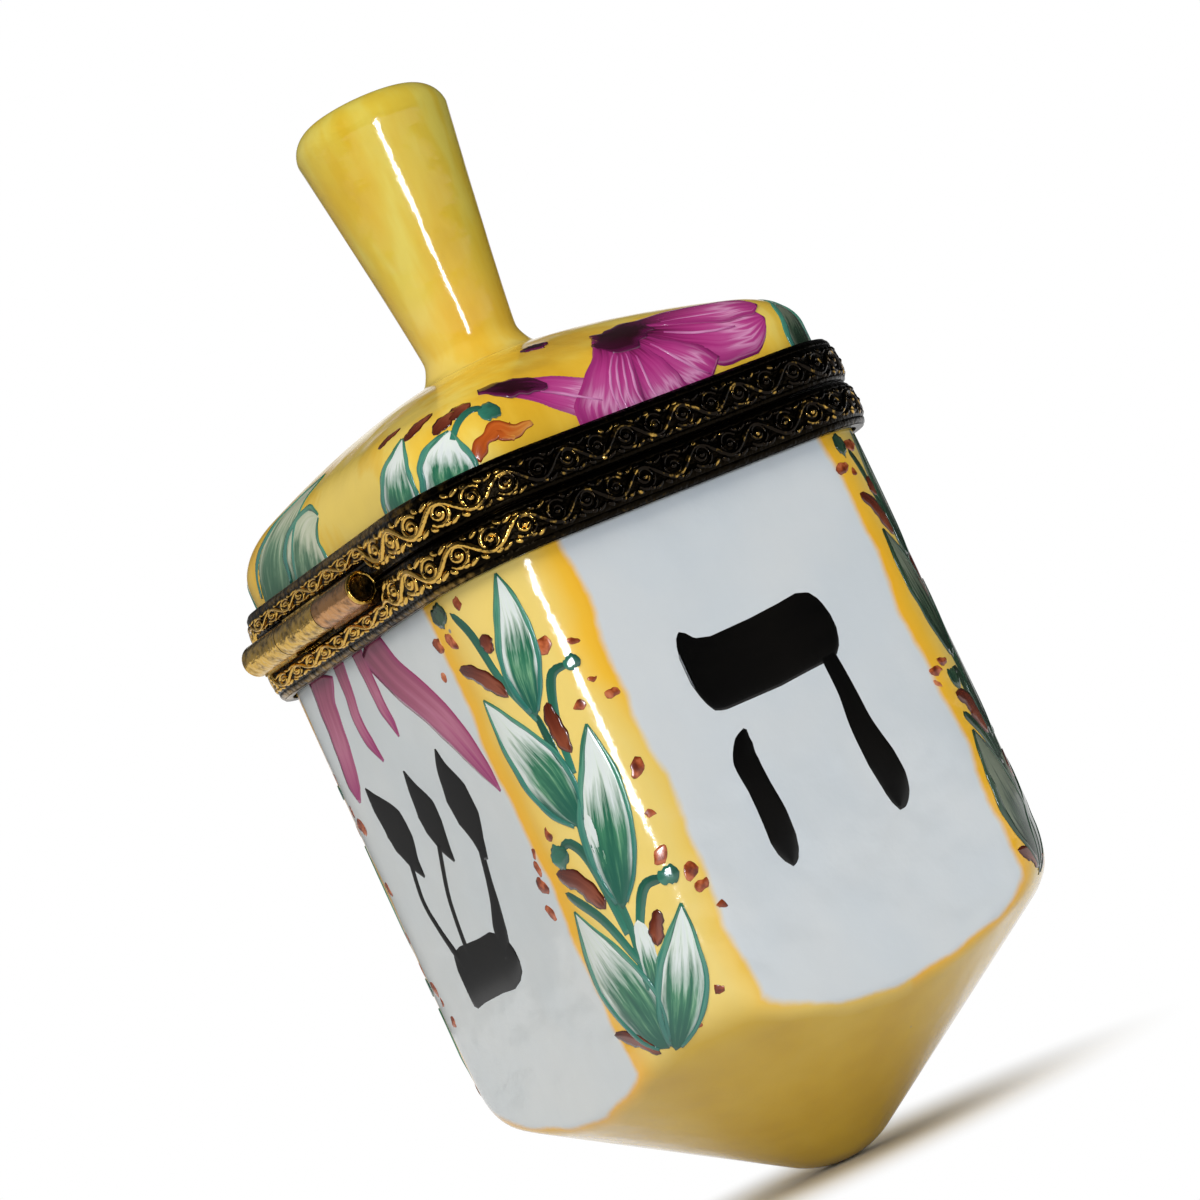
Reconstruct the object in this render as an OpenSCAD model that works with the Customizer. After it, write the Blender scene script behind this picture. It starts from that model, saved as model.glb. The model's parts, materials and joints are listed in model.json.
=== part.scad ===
// Hinged porcelain box in the form of a dreidel: a four-sided body with a conical tip,
// a domed lid with a stem, and a brass rim mount with a hinge at the back and a clasp in front.

/* [Body] */
// Width of the porcelain body across its flat sides
body_width = 35.5; // [33:0.5:40]
// Radius of the upright corners of the body
corner_radius = 6.8; // [6:0.1:9]
// Angle between the axis and the side of the conical tip, in degrees
tip_angle = 57.5; // [54:0.5:60]
// Radius of the rounded end of the tip
tip_radius = 7; // [4:0.5:8]
// Radius between the cone and the upright corners
shoulder_radius = 6; // [5:0.5:8]
// Thickness of the porcelain of the body
body_wall = 2.8; // [2.5:0.1:3.2]
// Height of the plane where lid and body meet
parting_height = 49.4; // [46:0.2:56]
// Depth that the porcelain rim steps in behind the brass bands
rim_recess = 0.25; // [0.15:0.05:0.3]

/* [Lid] */
// Thickness of the porcelain of the lid
lid_wall = 2.15; // [2:0.05:2.4]
// Height of the upright skirt of the lid above the parting plane
lid_skirt = 5; // [4.8:0.1:5.6]
// Height of the top of the dome above the parting plane
lid_rise = 12.6; // [11.6:0.2:14.6]
// Radius of the rounded edge between skirt and dome
lid_edge_radius = 4; // [3:0.5:4.5]
// Power with which the dome turns round towards the stem, where a lower one turns round sooner
dome_round_power_share = 0.9; // [0.6:0.1:1.4]

/* [Stem] */
// Length of the stem above the top of the dome
stem_length = 20.6; // [18:0.1:26]
// Radius of the stem at its waist, just above the dome
stem_waist_radius = 3.6; // [3:0.1:4.2]
// Radius of the stem at its head
stem_head_radius = 5.85; // [5:0.05:7]
// Radius of the hollow curve where the stem grows out of the dome
stem_fillet = 2; // [1.5:0.1:3]
// Radius of the rounded edge at the head of the stem
stem_edge_radius = 1.9; // [1.4:0.1:2.4]
// Rise of the slightly domed end of the stem
stem_crown = 0.4; // [0.2:0.1:0.8]

/* [Rim mount] */
// Height of each brass band
band_height = 3.2; // [3:0.1:3.8]
// Thickness of the upright wall of each band
band_thickness = 0.6; // [0.5:0.05:0.9]
// Thickness of the flange that covers the porcelain rim
flange_thickness = 0.5; // [0.4:0.05:0.6]
// Radius of the bead along the outer edge of each band
edge_bead_radius = 0.42; // [0.35:0.01:0.5]
// Radius of the bead along the meeting edge of each band
lip_bead_radius = 0.3; // [0.25:0.01:0.35]
// Distance that the beads stand out from the wall of the band
bead_stand = 0.22; // [0.15:0.01:0.3]
// Thickness of the upstand inside the mouth of the body
collar_thickness = 0.5; // [0.4:0.05:0.6]
// Height of the upstand above the parting plane
collar_rise = 1.25; // [1:0.05:1.5]
// Depth of the upstand and of the lid lining in the porcelain
collar_depth = 3; // [2.6:0.1:3.4]
// Thickness of the lining strip inside the lid
liner_thickness = 0.45; // [0.35:0.05:0.5]
// Thickness of the cement bed under each flange
cement_thickness = 0.3; // [0.2:0.05:0.4]
// Width of the slit where the ends of the lower band meet
seam_width = 0.2; // [0.15:0.01:0.3]
// Place of the slit along the hinge side, from the middle of the side
seam_offset = 0.2; // [0:0.1:4]

/* [Hinge] */
// Length of the hinge barrel
hinge_length = 18; // [15:0.5:19]
// Place of the barrel along its side, from the middle of the side
hinge_offset = 3; // [0:0.5:3]
// Share of the barrel that belongs to the lid
lid_knuckle_share = 0.36; // [0.3:0.01:0.44]
// Outer radius of the barrel
barrel_radius = 1.2; // [1.1:0.05:1.4]
// Radius of the hinge pin
pin_radius = 0.5; // [0.4:0.05:0.6]
// Radius of the peened ends of the pin
pin_head_radius = 0.8; // [0.75:0.05:1]
// Thickness of the peened ends of the pin
pin_head_height = 0.3; // [0.2:0.05:0.5]
// Thickness of band left behind the barrel
rebate_floor = 0.3; // [0.2:0.05:0.35]

/* [Clasp] */
// Width of the clasp tongue
tongue_width = 3.6; // [3:0.1:5]
// Thickness of the clasp tongue
tongue_thickness = 0.7; // [0.5:0.05:0.9]
// Distance that the tongue hangs below the parting plane before its round end
tongue_drop = 0.8; // [0.4:0.1:1]
// Radius of the thumb boss on the tongue
boss_radius = 1.5; // [1.2:0.1:1.5]
// Radius of the catch stud on the lower band
stud_radius = 0.55; // [0.4:0.05:0.6]

/* [Fits] */
// Space between the porcelain and the wall of each band
band_gap = 0.3; // [0.2:0.05:0.4]
// Space between the two bands when the lid is shut
parting_gap = 0.15; // [0.1:0.01:0.2]
// Space beside the upstand, to the porcelain and to the lid
collar_gap = 0.25; // [0.2:0.01:0.3]
// Space between the barrel and the bands round it
barrel_gap = 0.15; // [0.12:0.01:0.2]
// Space between neighbouring knuckles
knuckle_gap = 0.1; // [0.08:0.01:0.15]
// Space round the pin in its bores
pin_gap = 0.03; // [0.02:0.01:0.05]
// Space between the clasp tongue and the beads and stud under it
clasp_gap = 0.1; // [0.08:0.01:0.15]

/* [Hidden] */
$fn = 64;
overrun = 1;
arc_steps = 8;
corner_steps = 10;
corner_ease = 0.14;
quarter_angle = 90;
tip_flat_angle = 2;
ring_count = 4 * corner_steps;
white_glaze = [0.86, 0.87, 0.86];
yellow_glaze = [0.87, 0.73, 0.28];
gilt_brass = [0.62, 0.47, 0.20];
bright_brass = [0.75, 0.58, 0.26];
plain_cement = [0.78, 0.76, 0.70];

half = body_width / 2;
straight = half - corner_radius;
corner_reach = straight * sqrt(2) + corner_radius;
turned_radius = corner_reach + corner_ease;
tip_drop = tip_radius / sin(tip_angle) - tip_radius;
shoulder_r = turned_radius - shoulder_radius;
shoulder_z = (shoulder_radius + shoulder_r * cos(tip_angle)) / sin(tip_angle) - tip_drop;
base_rim = parting_height - flange_thickness - cement_thickness;
step_z = parting_height - band_height - band_gap;

collar_outer = -body_wall - collar_gap;
collar_inner = collar_outer - collar_thickness;
lid_inner = collar_outer + collar_gap;
wall_inner = band_gap;
wall_outer = band_gap + band_thickness;
lid_base = parting_height + parting_gap;
lid_rim = lid_base + flange_thickness + cement_thickness;

dome_q = lid_rise - lid_skirt;
dome_a = half - lid_edge_radius;
dome_radius = (dome_a * dome_a + dome_q * dome_q - lid_edge_radius * lid_edge_radius)
    / (2 * (dome_q - lid_edge_radius));
dome_z = parting_height + lid_rise - dome_radius;
skirt_z = parting_height + lid_skirt;
edge_angle = atan2(skirt_z - dome_z, dome_a);
fillet_r = stem_waist_radius + stem_fillet;
fillet_reach = dome_radius + stem_fillet;
fillet_z = dome_z + sqrt(fillet_reach * fillet_reach - fillet_r * fillet_r);
fillet_angle = atan2(fillet_z - dome_z, fillet_r);
stem_top = parting_height + lid_rise + stem_length;
head_z = stem_top - stem_crown - stem_edge_radius;
crown_r = stem_head_radius - stem_edge_radius;
flare_power_share = 1.1;
cap_share = 0.15;

rebate_half = barrel_radius + barrel_gap;
rebate_y = half + wall_inner + rebate_floor;
hinge_y = rebate_y + rebate_half;
hinge_reach = hinge_y + barrel_radius;
hinge_x0 = hinge_offset - hinge_length / 2;
hinge_x1 = hinge_offset + hinge_length / 2;
lid_knuckle_half = hinge_length * lid_knuckle_share / 2;
rebate_length = hinge_length + 2 * pin_head_height + 2 * barrel_gap;
bore_radius = pin_radius + pin_gap;

tongue_y = half + wall_outer + bead_stand + clasp_gap;
tongue_face = tongue_y + tongue_thickness;
boss_height = hinge_reach - tongue_face;
boss_ball = (boss_radius * boss_radius + boss_height * boss_height) / (2 * boss_height);
foot_z0 = lid_base + 2 * lip_bead_radius + clasp_gap;
foot_z1 = lid_base + band_height - 2 * edge_bead_radius - clasp_gap;
stud_z = parting_height - tongue_drop - stud_radius;

// A square with round corners, of half width h and corner radius r
module rounded_square(h, r) {
    s = h - r;
    square([2 * h, 2 * s], center = true);
    square([2 * s, 2 * h], center = true);
    for (x = [-s, s], y = [-s, s]) translate([x, y]) circle(r);
}

// A prism on the rounded square that lies in from the side of the body by inset
module prism(inset, z0, z1) {
    translate([0, 0, z0]) linear_extrude(height = z1 - z0)
        rounded_square(half - inset, corner_radius - inset);
}

// A flat or upright ring between two distances from the side of the body
module rim_ring(outer, inner, z0, z1) {
    difference() {
        prism(-outer, z0, z1);
        prism(-inner, z0 - overrun, z1 + overrun);
    }
}

// The turned outline of tip, cone and shoulder, moved in by inset
function turned_outline(inset, top) = concat(
    [[0, tip_radius - (tip_radius - inset) * cos(tip_flat_angle)]],
    [for (i = [0 : arc_steps])
        let (t = tip_flat_angle + (quarter_angle - tip_angle - tip_flat_angle) * i / arc_steps)
        [(tip_radius - inset) * sin(t), tip_radius - (tip_radius - inset) * cos(t)]],
    [for (i = [0 : arc_steps]) let (t = tip_angle * (i / arc_steps - 1))
        [shoulder_r + (shoulder_radius - inset) * cos(t), shoulder_z + (shoulder_radius - inset) * sin(t)]],
    [[turned_radius - inset, top], [0, top]]);

// The square prism and the turned outline have this form in common
module body_form(inset, top) {
    intersection() {
        prism(inset, 0, top);
        rotate_extrude() polygon(turned_outline(inset, top));
    }
}

module body_shell() {
    color(white_glaze) difference() {
        union() {
            body_form(0, step_z);
            prism(rim_recess, step_z, base_rim);
        }
        body_form(body_wall, base_rim + overrun);
    }
}

// One ring of the lid: a rounded square of half width h and corner radius c at height z
function lid_ring(h, c, z) = [for (q = [0 : 3]) for (i = [0 : corner_steps - 1])
    let (t = quarter_angle * (q + (i + 0.5) / corner_steps),
        sx = (q == 0 || q == 3) ? 1 : -1,
        sy = (q < 2) ? 1 : -1)
    [sx * (h - c) + c * cos(t), sy * (h - c) + c * sin(t), z]];

// The corner radius grows from that of the body to a full round at the stem
function round_share(h) = let (k = max(0, min(1, (half - h) / (half - fillet_r))))
    corner_radius / half + (1 - corner_radius / half) * pow(k, dome_round_power_share);

// The dome from the rim up to its top, moved in by inset and ending at normal angle last
function dome_rings(inset, last) = let (w = half - inset) concat(
    [lid_ring(w, corner_radius - inset, lid_rim)],
    [for (i = [0 : arc_steps]) let (t = edge_angle * i / arc_steps,
        h = dome_a + (lid_edge_radius - inset) * cos(t))
        lid_ring(h, i == 0 ? corner_radius - inset : h * round_share(h + inset),
            skirt_z + (lid_edge_radius - inset) * sin(t))],
    [for (i = [1 : arc_steps]) let (t = edge_angle + (last - edge_angle) * i / arc_steps,
        h = (dome_radius - inset) * cos(t))
        lid_ring(h, h * round_share(h + inset), dome_z + (dome_radius - inset) * sin(t))]);

// The stem: hollow curve, flare, rounded edge and slightly domed end
function stem_rings() = concat(
    [for (i = [1 : arc_steps]) let (t = 2 * quarter_angle + fillet_angle * (1 - i / arc_steps),
        r = fillet_r + stem_fillet * cos(t))
        lid_ring(r, r, fillet_z + stem_fillet * sin(t))],
    [for (i = [1 : arc_steps]) let (k = i / arc_steps,
        r = stem_waist_radius + (stem_head_radius - stem_waist_radius) * pow(k, flare_power_share))
        lid_ring(r, r, fillet_z + (head_z - fillet_z) * k)],
    [for (i = [1 : arc_steps]) let (t = quarter_angle * i / arc_steps,
        r = crown_r + stem_edge_radius * cos(t))
        lid_ring(r, r, head_z + stem_edge_radius * sin(t) + stem_crown * (1 - cos(t)) / 2)],
    [lid_ring(crown_r * cap_share, crown_r * cap_share, stem_top)]);

// Two triangles for each pair of neighbouring points of two rings
function band_faces(a, b, turn) = [for (i = [0 : ring_count - 1]) let (j = (i + 1) % ring_count,
    p = [a + i, b + i, b + j, a + j])
    each (turn ? [[p[0], p[2], p[1]], [p[0], p[3], p[2]]] : [[p[0], p[1], p[2]], [p[0], p[2], p[3]]])];

module lid_shell() {
    outer = concat(dome_rings(0, fillet_angle), stem_rings());
    inner = dome_rings(lid_wall, fillet_angle);
    no = len(outer);
    ni = len(inner);
    start = no * ring_count;
    last = start + (ni - 1) * ring_count;
    faces = concat(
        [for (k = [0 : no - 2]) each band_faces(k * ring_count, (k + 1) * ring_count, false)],
        [for (k = [0 : ni - 2]) each band_faces(start + k * ring_count, start + (k + 1) * ring_count, true)],
        band_faces(0, start, true),
        [[for (i = [ring_count - 1 : -1 : 0]) (no - 1) * ring_count + i]],
        [[for (i = [0 : ring_count - 1]) last + i]]);
    color(yellow_glaze) polyhedron(points = [for (r = concat(outer, inner)) each r], faces = faces);
}

// Carries a flat section, drawn from the side of the body outward, round the whole rim
module round_the_rim(z) {
    for (k = [0 : 3]) rotate(90 * k) {
        translate([half, straight, z]) rotate([90, 0, 0]) linear_extrude(height = 2 * straight) children();
        translate([straight, straight, z]) rotate_extrude(angle = 90)
            translate([corner_radius, 0]) children();
    }
}

// Section of a band that stands up from the meeting edge, with flange and two beads
module band_section(flange_inner) {
    translate([wall_inner, 0]) square([band_thickness, band_height]);
    translate([flange_inner, 0]) square([wall_outer - flange_inner, flange_thickness]);
    translate([wall_outer + bead_stand - lip_bead_radius, lip_bead_radius]) circle(lip_bead_radius);
    translate([wall_outer + bead_stand - edge_bead_radius, band_height - edge_bead_radius])
        circle(edge_bead_radius);
}

// The room that both bands leave for the hinge barrel
module hinge_rebate() {
    translate([hinge_offset - rebate_length / 2, rebate_y, parting_height - rebate_half])
        cube([rebate_length, hinge_reach, 2 * rebate_half]);
}

module base_bezel() {
    color(gilt_brass) difference() {
        round_the_rim(parting_height) mirror([0, 1]) band_section(collar_outer);
        hinge_rebate();
        translate([seam_offset - seam_width / 2, half, parting_height - band_height - overrun])
            cube([seam_width, hinge_reach, band_height + overrun - rebate_half]);
    }
}

module lid_bezel() {
    color(gilt_brass) difference() {
        round_the_rim(lid_base) band_section(lid_inner);
        hinge_rebate();
    }
}

module base_collar() {
    color(bright_brass)
        rim_ring(collar_outer, collar_inner, parting_height - collar_depth, parting_height + collar_rise);
}

module lid_liner() {
    color(bright_brass)
        rim_ring(lid_inner + liner_thickness, lid_inner,
            lid_base + flange_thickness, lid_base + collar_depth);
}

module base_cement() {
    color(plain_cement) rim_ring(-rim_recess, -body_wall, base_rim, base_rim + cement_thickness);
}

module lid_cement() {
    color(plain_cement)
        rim_ring(-collar_gap / 2, -lid_wall + collar_gap / 2, lid_rim - cement_thickness, lid_rim);
}

// A length of barrel with a foot that fills its rebate, below the parting plane or above it
module knuckle(x0, x1, z0, z1) {
    color(bright_brass) difference() {
        union() {
            translate([x0, hinge_y, parting_height]) rotate([0, 90, 0])
                cylinder(h = x1 - x0, r = barrel_radius);
            translate([x0, rebate_y, z0]) cube([x1 - x0, rebate_half, z1 - z0]);
        }
        translate([x0 - overrun, hinge_y, parting_height]) rotate([0, 90, 0])
            cylinder(h = x1 - x0 + 2 * overrun, r = bore_radius);
    }
}

module base_knuckle_near() {
    knuckle(hinge_x0, hinge_offset - lid_knuckle_half - knuckle_gap,
        parting_height - rebate_half, parting_height);
}

module base_knuckle_far() {
    knuckle(hinge_offset + lid_knuckle_half + knuckle_gap, hinge_x1,
        parting_height - rebate_half, parting_height);
}

module lid_knuckle() {
    knuckle(hinge_offset - lid_knuckle_half, hinge_offset + lid_knuckle_half,
        lid_base, parting_height + rebate_half);
}

module hinge_pin() {
    color(bright_brass) translate([hinge_x0, hinge_y, parting_height]) rotate([0, 90, 0]) {
        translate([0, 0, -pin_head_height]) cylinder(h = hinge_length + 2 * pin_head_height, r = pin_radius);
        translate([0, 0, -pin_head_height]) cylinder(h = pin_head_height, r = pin_head_radius);
        translate([0, 0, hinge_length]) cylinder(h = pin_head_height, r = pin_head_radius);
    }
}

module clasp_tongue() {
    color(bright_brass) difference() {
        union() {
            translate([-tongue_width / 2, -tongue_y, foot_z0])
                cube([tongue_width, tongue_y - half - wall_outer, foot_z1 - foot_z0]);
            translate([-tongue_width / 2, -tongue_face, parting_height - tongue_drop])
                cube([tongue_width, tongue_thickness, foot_z1 - parting_height + tongue_drop]);
            translate([0, -tongue_y, parting_height - tongue_drop]) rotate([90, 0, 0])
                cylinder(h = tongue_thickness, r = tongue_width / 2);
            intersection() {
                translate([0, boss_ball - hinge_reach, foot_z0]) sphere(boss_ball);
                translate([-body_width / 2, -hinge_reach, 0]) cube([body_width, boss_height, stem_top]);
            }
        }
        translate([0, 0, stud_z]) rotate([90, 0, 0]) cylinder(h = body_width, r = stud_radius);
    }
}

module clasp_stud() {
    color(bright_brass) translate([0, -half - wall_outer, stud_z]) rotate([90, 0, 0])
        cylinder(h = bead_stand, r = stud_radius);
}

body_shell();
lid_shell();
base_bezel();
lid_bezel();
base_collar();
lid_liner();
base_cement();
lid_cement();
base_knuckle_near();
base_knuckle_far();
lid_knuckle();
hinge_pin();
clasp_tongue();
clasp_stud();
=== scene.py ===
# %% [markdown]
# # A hinged porcelain box in the form of a dreidel
# The CAD model gives every size and place. This lesson dresses it: smooth glazed porcelain, enamel painting
# laid on as thin raised strokes, and a stamped brass mount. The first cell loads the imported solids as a
# frame that never moves.

# %% Load the frame
import json
import math
from functools import partial
import bmesh
import bpy
import numpy as np
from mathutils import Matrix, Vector
from mathutils.bvhtree import BVHTree

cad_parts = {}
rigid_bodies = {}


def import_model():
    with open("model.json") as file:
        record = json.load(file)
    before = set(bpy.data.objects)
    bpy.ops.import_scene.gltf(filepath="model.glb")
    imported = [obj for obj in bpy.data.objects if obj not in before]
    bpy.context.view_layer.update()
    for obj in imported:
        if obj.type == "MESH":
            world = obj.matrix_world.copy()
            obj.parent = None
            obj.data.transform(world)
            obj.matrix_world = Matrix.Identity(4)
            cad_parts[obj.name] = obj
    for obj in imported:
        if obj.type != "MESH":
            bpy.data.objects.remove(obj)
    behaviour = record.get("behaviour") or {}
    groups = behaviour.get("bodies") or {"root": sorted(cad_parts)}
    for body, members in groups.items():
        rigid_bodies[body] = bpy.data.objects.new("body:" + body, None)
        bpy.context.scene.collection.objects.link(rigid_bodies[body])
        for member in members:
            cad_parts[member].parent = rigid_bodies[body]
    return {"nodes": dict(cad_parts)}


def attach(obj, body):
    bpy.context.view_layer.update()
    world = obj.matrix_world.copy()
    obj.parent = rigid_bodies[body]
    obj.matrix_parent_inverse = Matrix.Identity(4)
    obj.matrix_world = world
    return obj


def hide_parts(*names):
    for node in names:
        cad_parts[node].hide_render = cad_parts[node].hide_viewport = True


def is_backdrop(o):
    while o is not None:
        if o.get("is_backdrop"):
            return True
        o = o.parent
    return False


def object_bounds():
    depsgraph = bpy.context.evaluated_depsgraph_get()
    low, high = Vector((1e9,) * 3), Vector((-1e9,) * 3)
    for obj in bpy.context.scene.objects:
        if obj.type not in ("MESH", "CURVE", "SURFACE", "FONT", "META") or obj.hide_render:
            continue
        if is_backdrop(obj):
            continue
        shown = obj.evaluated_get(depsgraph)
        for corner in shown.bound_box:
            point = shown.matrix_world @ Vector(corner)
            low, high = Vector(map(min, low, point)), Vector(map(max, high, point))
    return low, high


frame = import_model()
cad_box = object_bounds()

scene = bpy.context.scene
print("nodes in the frame:", sorted(frame["nodes"]))

# %% [markdown]
# ## Camera, floor and light
# The object was photographed from a little below its middle, with the camera turned so that the axis leans
# to the left. A camera could be placed by eye, but here its place was fitted to the outline, so it is
# written down as numbers. The light is one upright oval lamp beside the camera, which gives the long streak
# on a rounded glaze, and a wide cloth above it and another behind, which are kept out of the gloss. The
# room is white to the eye. Gloss and metal show it white behind the object, pale on one side and dark
# elsewhere, as they did there.


# %% Camera
def put(name, data):
    """Sets data in the scene as an object."""
    thing = bpy.data.objects.new(name, data)
    scene.collection.objects.link(thing)
    return thing


camera = put("camera", bpy.data.cameras.new("camera"))
camera.location = (-0.238883, 0.148917, 0.021676)
camera.rotation_euler = [math.radians(a) for a in (94.7877, 24.7558, -120.0933)]
camera.data.sensor_width = 36.0
camera.data.lens = 119.111
camera.data.clip_start = 0.01
scene.camera = camera
scene.view_settings.view_transform = "Standard"
print("camera at", tuple(round(v, 4) for v in camera.location))


# %% Colours and nodes
def linear(hex_colour):
    """Turns an sRGB hex colour into the linear values that a shader takes."""
    parts = [int(hex_colour[i:i + 2], 16) / 255 for i in (1, 3, 5)]
    return tuple(c / 12.92 if c <= 0.04045 else ((c + 0.055) / 1.055) ** 2.4 for c in parts) + (1.0,)


def fill(tree, node, inputs):
    """Fills inputs of a node, by name or in their order, with values, hex colours or links.

    A node given as a value stands for the first of its outputs that is in use. A list makes many links.
    """
    for key, given in inputs.items() if isinstance(inputs, dict) else enumerate(inputs):
        named = [s for s in node.inputs if s.enabled and s.name == key]
        socket = named[0] if named else node.inputs[key]
        for value in given if isinstance(given, list) else [given]:
            if isinstance(value, bpy.types.Node):
                value = next(s for s in value.outputs if s.enabled)
            if isinstance(value, bpy.types.NodeSocket):
                tree.links.new(value, socket)
            else:
                colour = isinstance(value, str) and value.startswith("#")
                socket.default_value = linear(value) if colour else value


def add(tree, kind, inputs=(), stops=None, **settings):
    """Adds a node, a shader's unless its kind says otherwise, with its properties, inputs and stops."""
    node = tree.nodes.new(kind if "Node" in kind else "ShaderNode" + kind)
    for name, value in settings.items():
        setattr(node, name, value)
    fill(tree, node, inputs)
    if stops:
        elements = node.color_ramp.elements
        while len(elements) < len(stops):
            elements.new(0.5)
        for element, (place, colour) in zip(elements, stops):
            element.position, element.color = place, linear(colour)
    return node


def new_material(name):
    """An empty node material with its Principled shader already joined to the output."""
    material = bpy.data.materials.new(name)
    material.use_nodes = True
    tree = material.node_tree
    return material, tree, tree.nodes["Principled BSDF"]


# %% White room, floor and lamps
def rays_that_show(tree):
    """One for rays that show a background: from the camera, off gloss or through glass."""
    ray = add(tree, "LightPath").outputs
    seen = add(tree, "Math", (ray["Is Camera Ray"], ray["Is Glossy Ray"]), operation="MAXIMUM")
    return add(tree, "Math", (seen, ray["Is Transmission Ray"]), operation="MAXIMUM")


DULL, EVEN_LIGHT = 0.03, 0.30     # the dark part of the room in gloss, and what the room sheds on everything
WHITE = (1, 1, 1, 1)
world = bpy.data.worlds.new("studio")
scene.world = world
world.use_nodes = True
room = world.node_tree
looking = add(room, "TexCoord").outputs["Generated"]
behind = add(room, "VectorMath", (looking, (0.848, -0.530, 0.0)), operation="DOT_PRODUCT")
beside = add(room, "VectorMath", (looking, (0.70, 0.70, 0.14)), operation="DOT_PRODUCT")
backdrop = add(room, "MapRange", (behind, 0.92, 0.985, DULL, 1.0), interpolation_type="SMOOTHSTEP")
panel = add(room, "MapRange", (beside, 0.45, 0.95, DULL, 0.36), interpolation_type="SMOOTHSTEP")
in_gloss = add(room, "Math", (backdrop, panel), operation="MAXIMUM")
level = add(room, "Mix", {"Factor": rays_that_show(room), "A": EVEN_LIGHT, "B": in_gloss}, data_type="FLOAT")
by_eye = add(room, "LightPath").outputs["Is Camera Ray"]
strength = add(room, "Math", (level, by_eye), operation="MAXIMUM")
fill(room, room.nodes["Background"], {"Color": WHITE, "Strength": strength})

# pale paper: matt, so that it shows only the soft shadow under the tip
paper, tree, shader = new_material("pale_paper_floor")
fill(tree, shader, {"Base Color": "#DCDCDA", "Roughness": 0.9})
away = add(tree, "VectorMath", (add(tree, "TexCoord").outputs["Object"],), operation="LENGTH")
fade = add(tree, "MapRange", (away, 0.004, 0.027), interpolation_type="SMOOTHSTEP")
share = add(tree, "Math", (fade, rays_that_show(tree)), operation="MULTIPLY")
white = add(tree, "Emission", {"Color": WHITE, "Strength": 1.0})
fill(tree, tree.nodes["Material Output"], {"Surface": add(tree, "MixShader", (share, shader, white))})
floor_mesh = bpy.data.meshes.new("floor")
floor_mesh.from_pydata([(-2, -2, 0), (2, -2, 0), (2, 2, 0), (-2, 2, 0)], [], [(0, 1, 2, 3)])
floor_mesh.materials.append(paper)
floor = put("floor", floor_mesh)
floor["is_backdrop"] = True


def soft_box(name, place, aim, width, height, watts, colour="#FFFFFF"):
    """An oval lamp at place that faces aim, all in metres; its streaks in the glaze taper at both ends."""
    lamp = put(name, bpy.data.lights.new(name, "AREA"))
    lamp.data.shape, lamp.data.size, lamp.data.size_y, lamp.data.energy = "ELLIPSE", width, height, watts
    lamp.data.color = linear(colour)[:3]
    lamp.location = place
    lamp.rotation_euler = (Vector(aim) - Vector(place)).to_track_quat("-Z", "Y").to_euler()
    return lamp


soft_box("box_by_camera", (-0.285, 0.105, 0.055), (0, 0, 0.045),
         width=0.030, height=0.055, watts=0.25, colour="#EEF4FF")
above = soft_box("wide_box_above", (-0.275, 0.35, 0.44), (0, 0, 0.04),
                 width=0.5, height=0.5, watts=2.6, colour="#FFF5E4")
cloth = soft_box("cloth_behind", (0.32, -0.20, 0.26), (0, 0, 0.04), width=0.25, height=0.25, watts=1.0)
above.visible_glossy = cloth.visible_glossy = False
print("floor, studio and three lamps are set")

# %% [markdown]
# ## The porcelain body
# The body was cast in a mould: four flat sides with wide rounded corners, cut by a turned cone at the
# bottom. The CAD solid meets the cone in a sharp edge. Glaze pools in such an edge, so the mesh here takes
# the same two forms and melts them together over about a millimetre. It is a grid of columns and rings, and
# a ring at height z is found by a rule.

# %% Sizes of the body, in millimetres as in the CAD source
MM = 0.001
half, corner, body_wall = 17.75, 6.8, 2.8
straight = half - corner
side = 2 * straight + corner * math.pi / 2        # from the middle of one side to the middle of the next
tip_radius, shoulder, turned = 7.0, 6.0, 22.4257
slope = math.radians(57.5)
shoulder_r, shoulder_z = turned - shoulder, 16.279
step_z, base_rim, rim_recess = 46.7, 48.6, 0.25
outer_melt, inner_melt = 0.9, 0.8


def square_reach(angle, h, c):
    """Distance from the axis to a square of half width h with corners of radius c, in each direction."""
    a = np.abs((np.asarray(angle, float) + math.pi / 4) % (math.pi / 2) - math.pi / 4)
    s = h - c
    d = s * (np.cos(a) + np.sin(a))
    return np.where(h * np.tan(a) <= s, h / np.cos(a), d + np.sqrt(np.maximum(d * d - 2 * s * s + c * c, 0)))


def turned_reach(z, inset):
    """Radius of the turned tip, cone and shoulder at each height; it opens out above the shoulder."""
    z = np.asarray(z, float)
    low = tip_radius - inset
    high = shoulder - inset
    a = np.array([low * math.cos(slope), tip_radius - low * math.sin(slope)])
    b = np.array([shoulder_r + high * math.cos(slope), shoulder_z - high * math.sin(slope)])
    tip = np.sqrt(np.maximum(low ** 2 - (tip_radius - z) ** 2, 0))
    cone = a[0] + (z - a[1]) * (b[0] - a[0]) / (b[1] - a[1])
    bend = shoulder_r + np.sqrt(np.maximum(high ** 2 - np.minimum(z - shoulder_z, 0) ** 2, 0))
    return np.where(z < a[1], tip, np.where(z < b[1], cone, bend)) + np.maximum(z - shoulder_z, 0) ** 2 * 0.2


def melt(a, b, width):
    """The smaller of two numbers, with the change between them rounded over a width."""
    k = np.clip(0.5 + 0.5 * (b - a) / width, 0, 1)
    return b * (1 - k) + a * k - width * k * (1 - k)


def side_angle(s):
    """Direction from the axis to a point at distance s round the body, from the middle of the side at -X."""
    s = np.asarray(s, float)
    k = np.round(s / side)
    u = s - k * side
    t = np.maximum(np.abs(u) - straight, 0) / corner
    x = np.where(np.abs(u) <= straight, half, straight + corner * np.cos(t))
    y = np.where(np.abs(u) <= straight, u, np.sign(u) * (straight + corner * np.sin(t)))
    return math.pi + k * math.pi / 2 + np.arctan2(y, x)


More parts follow.
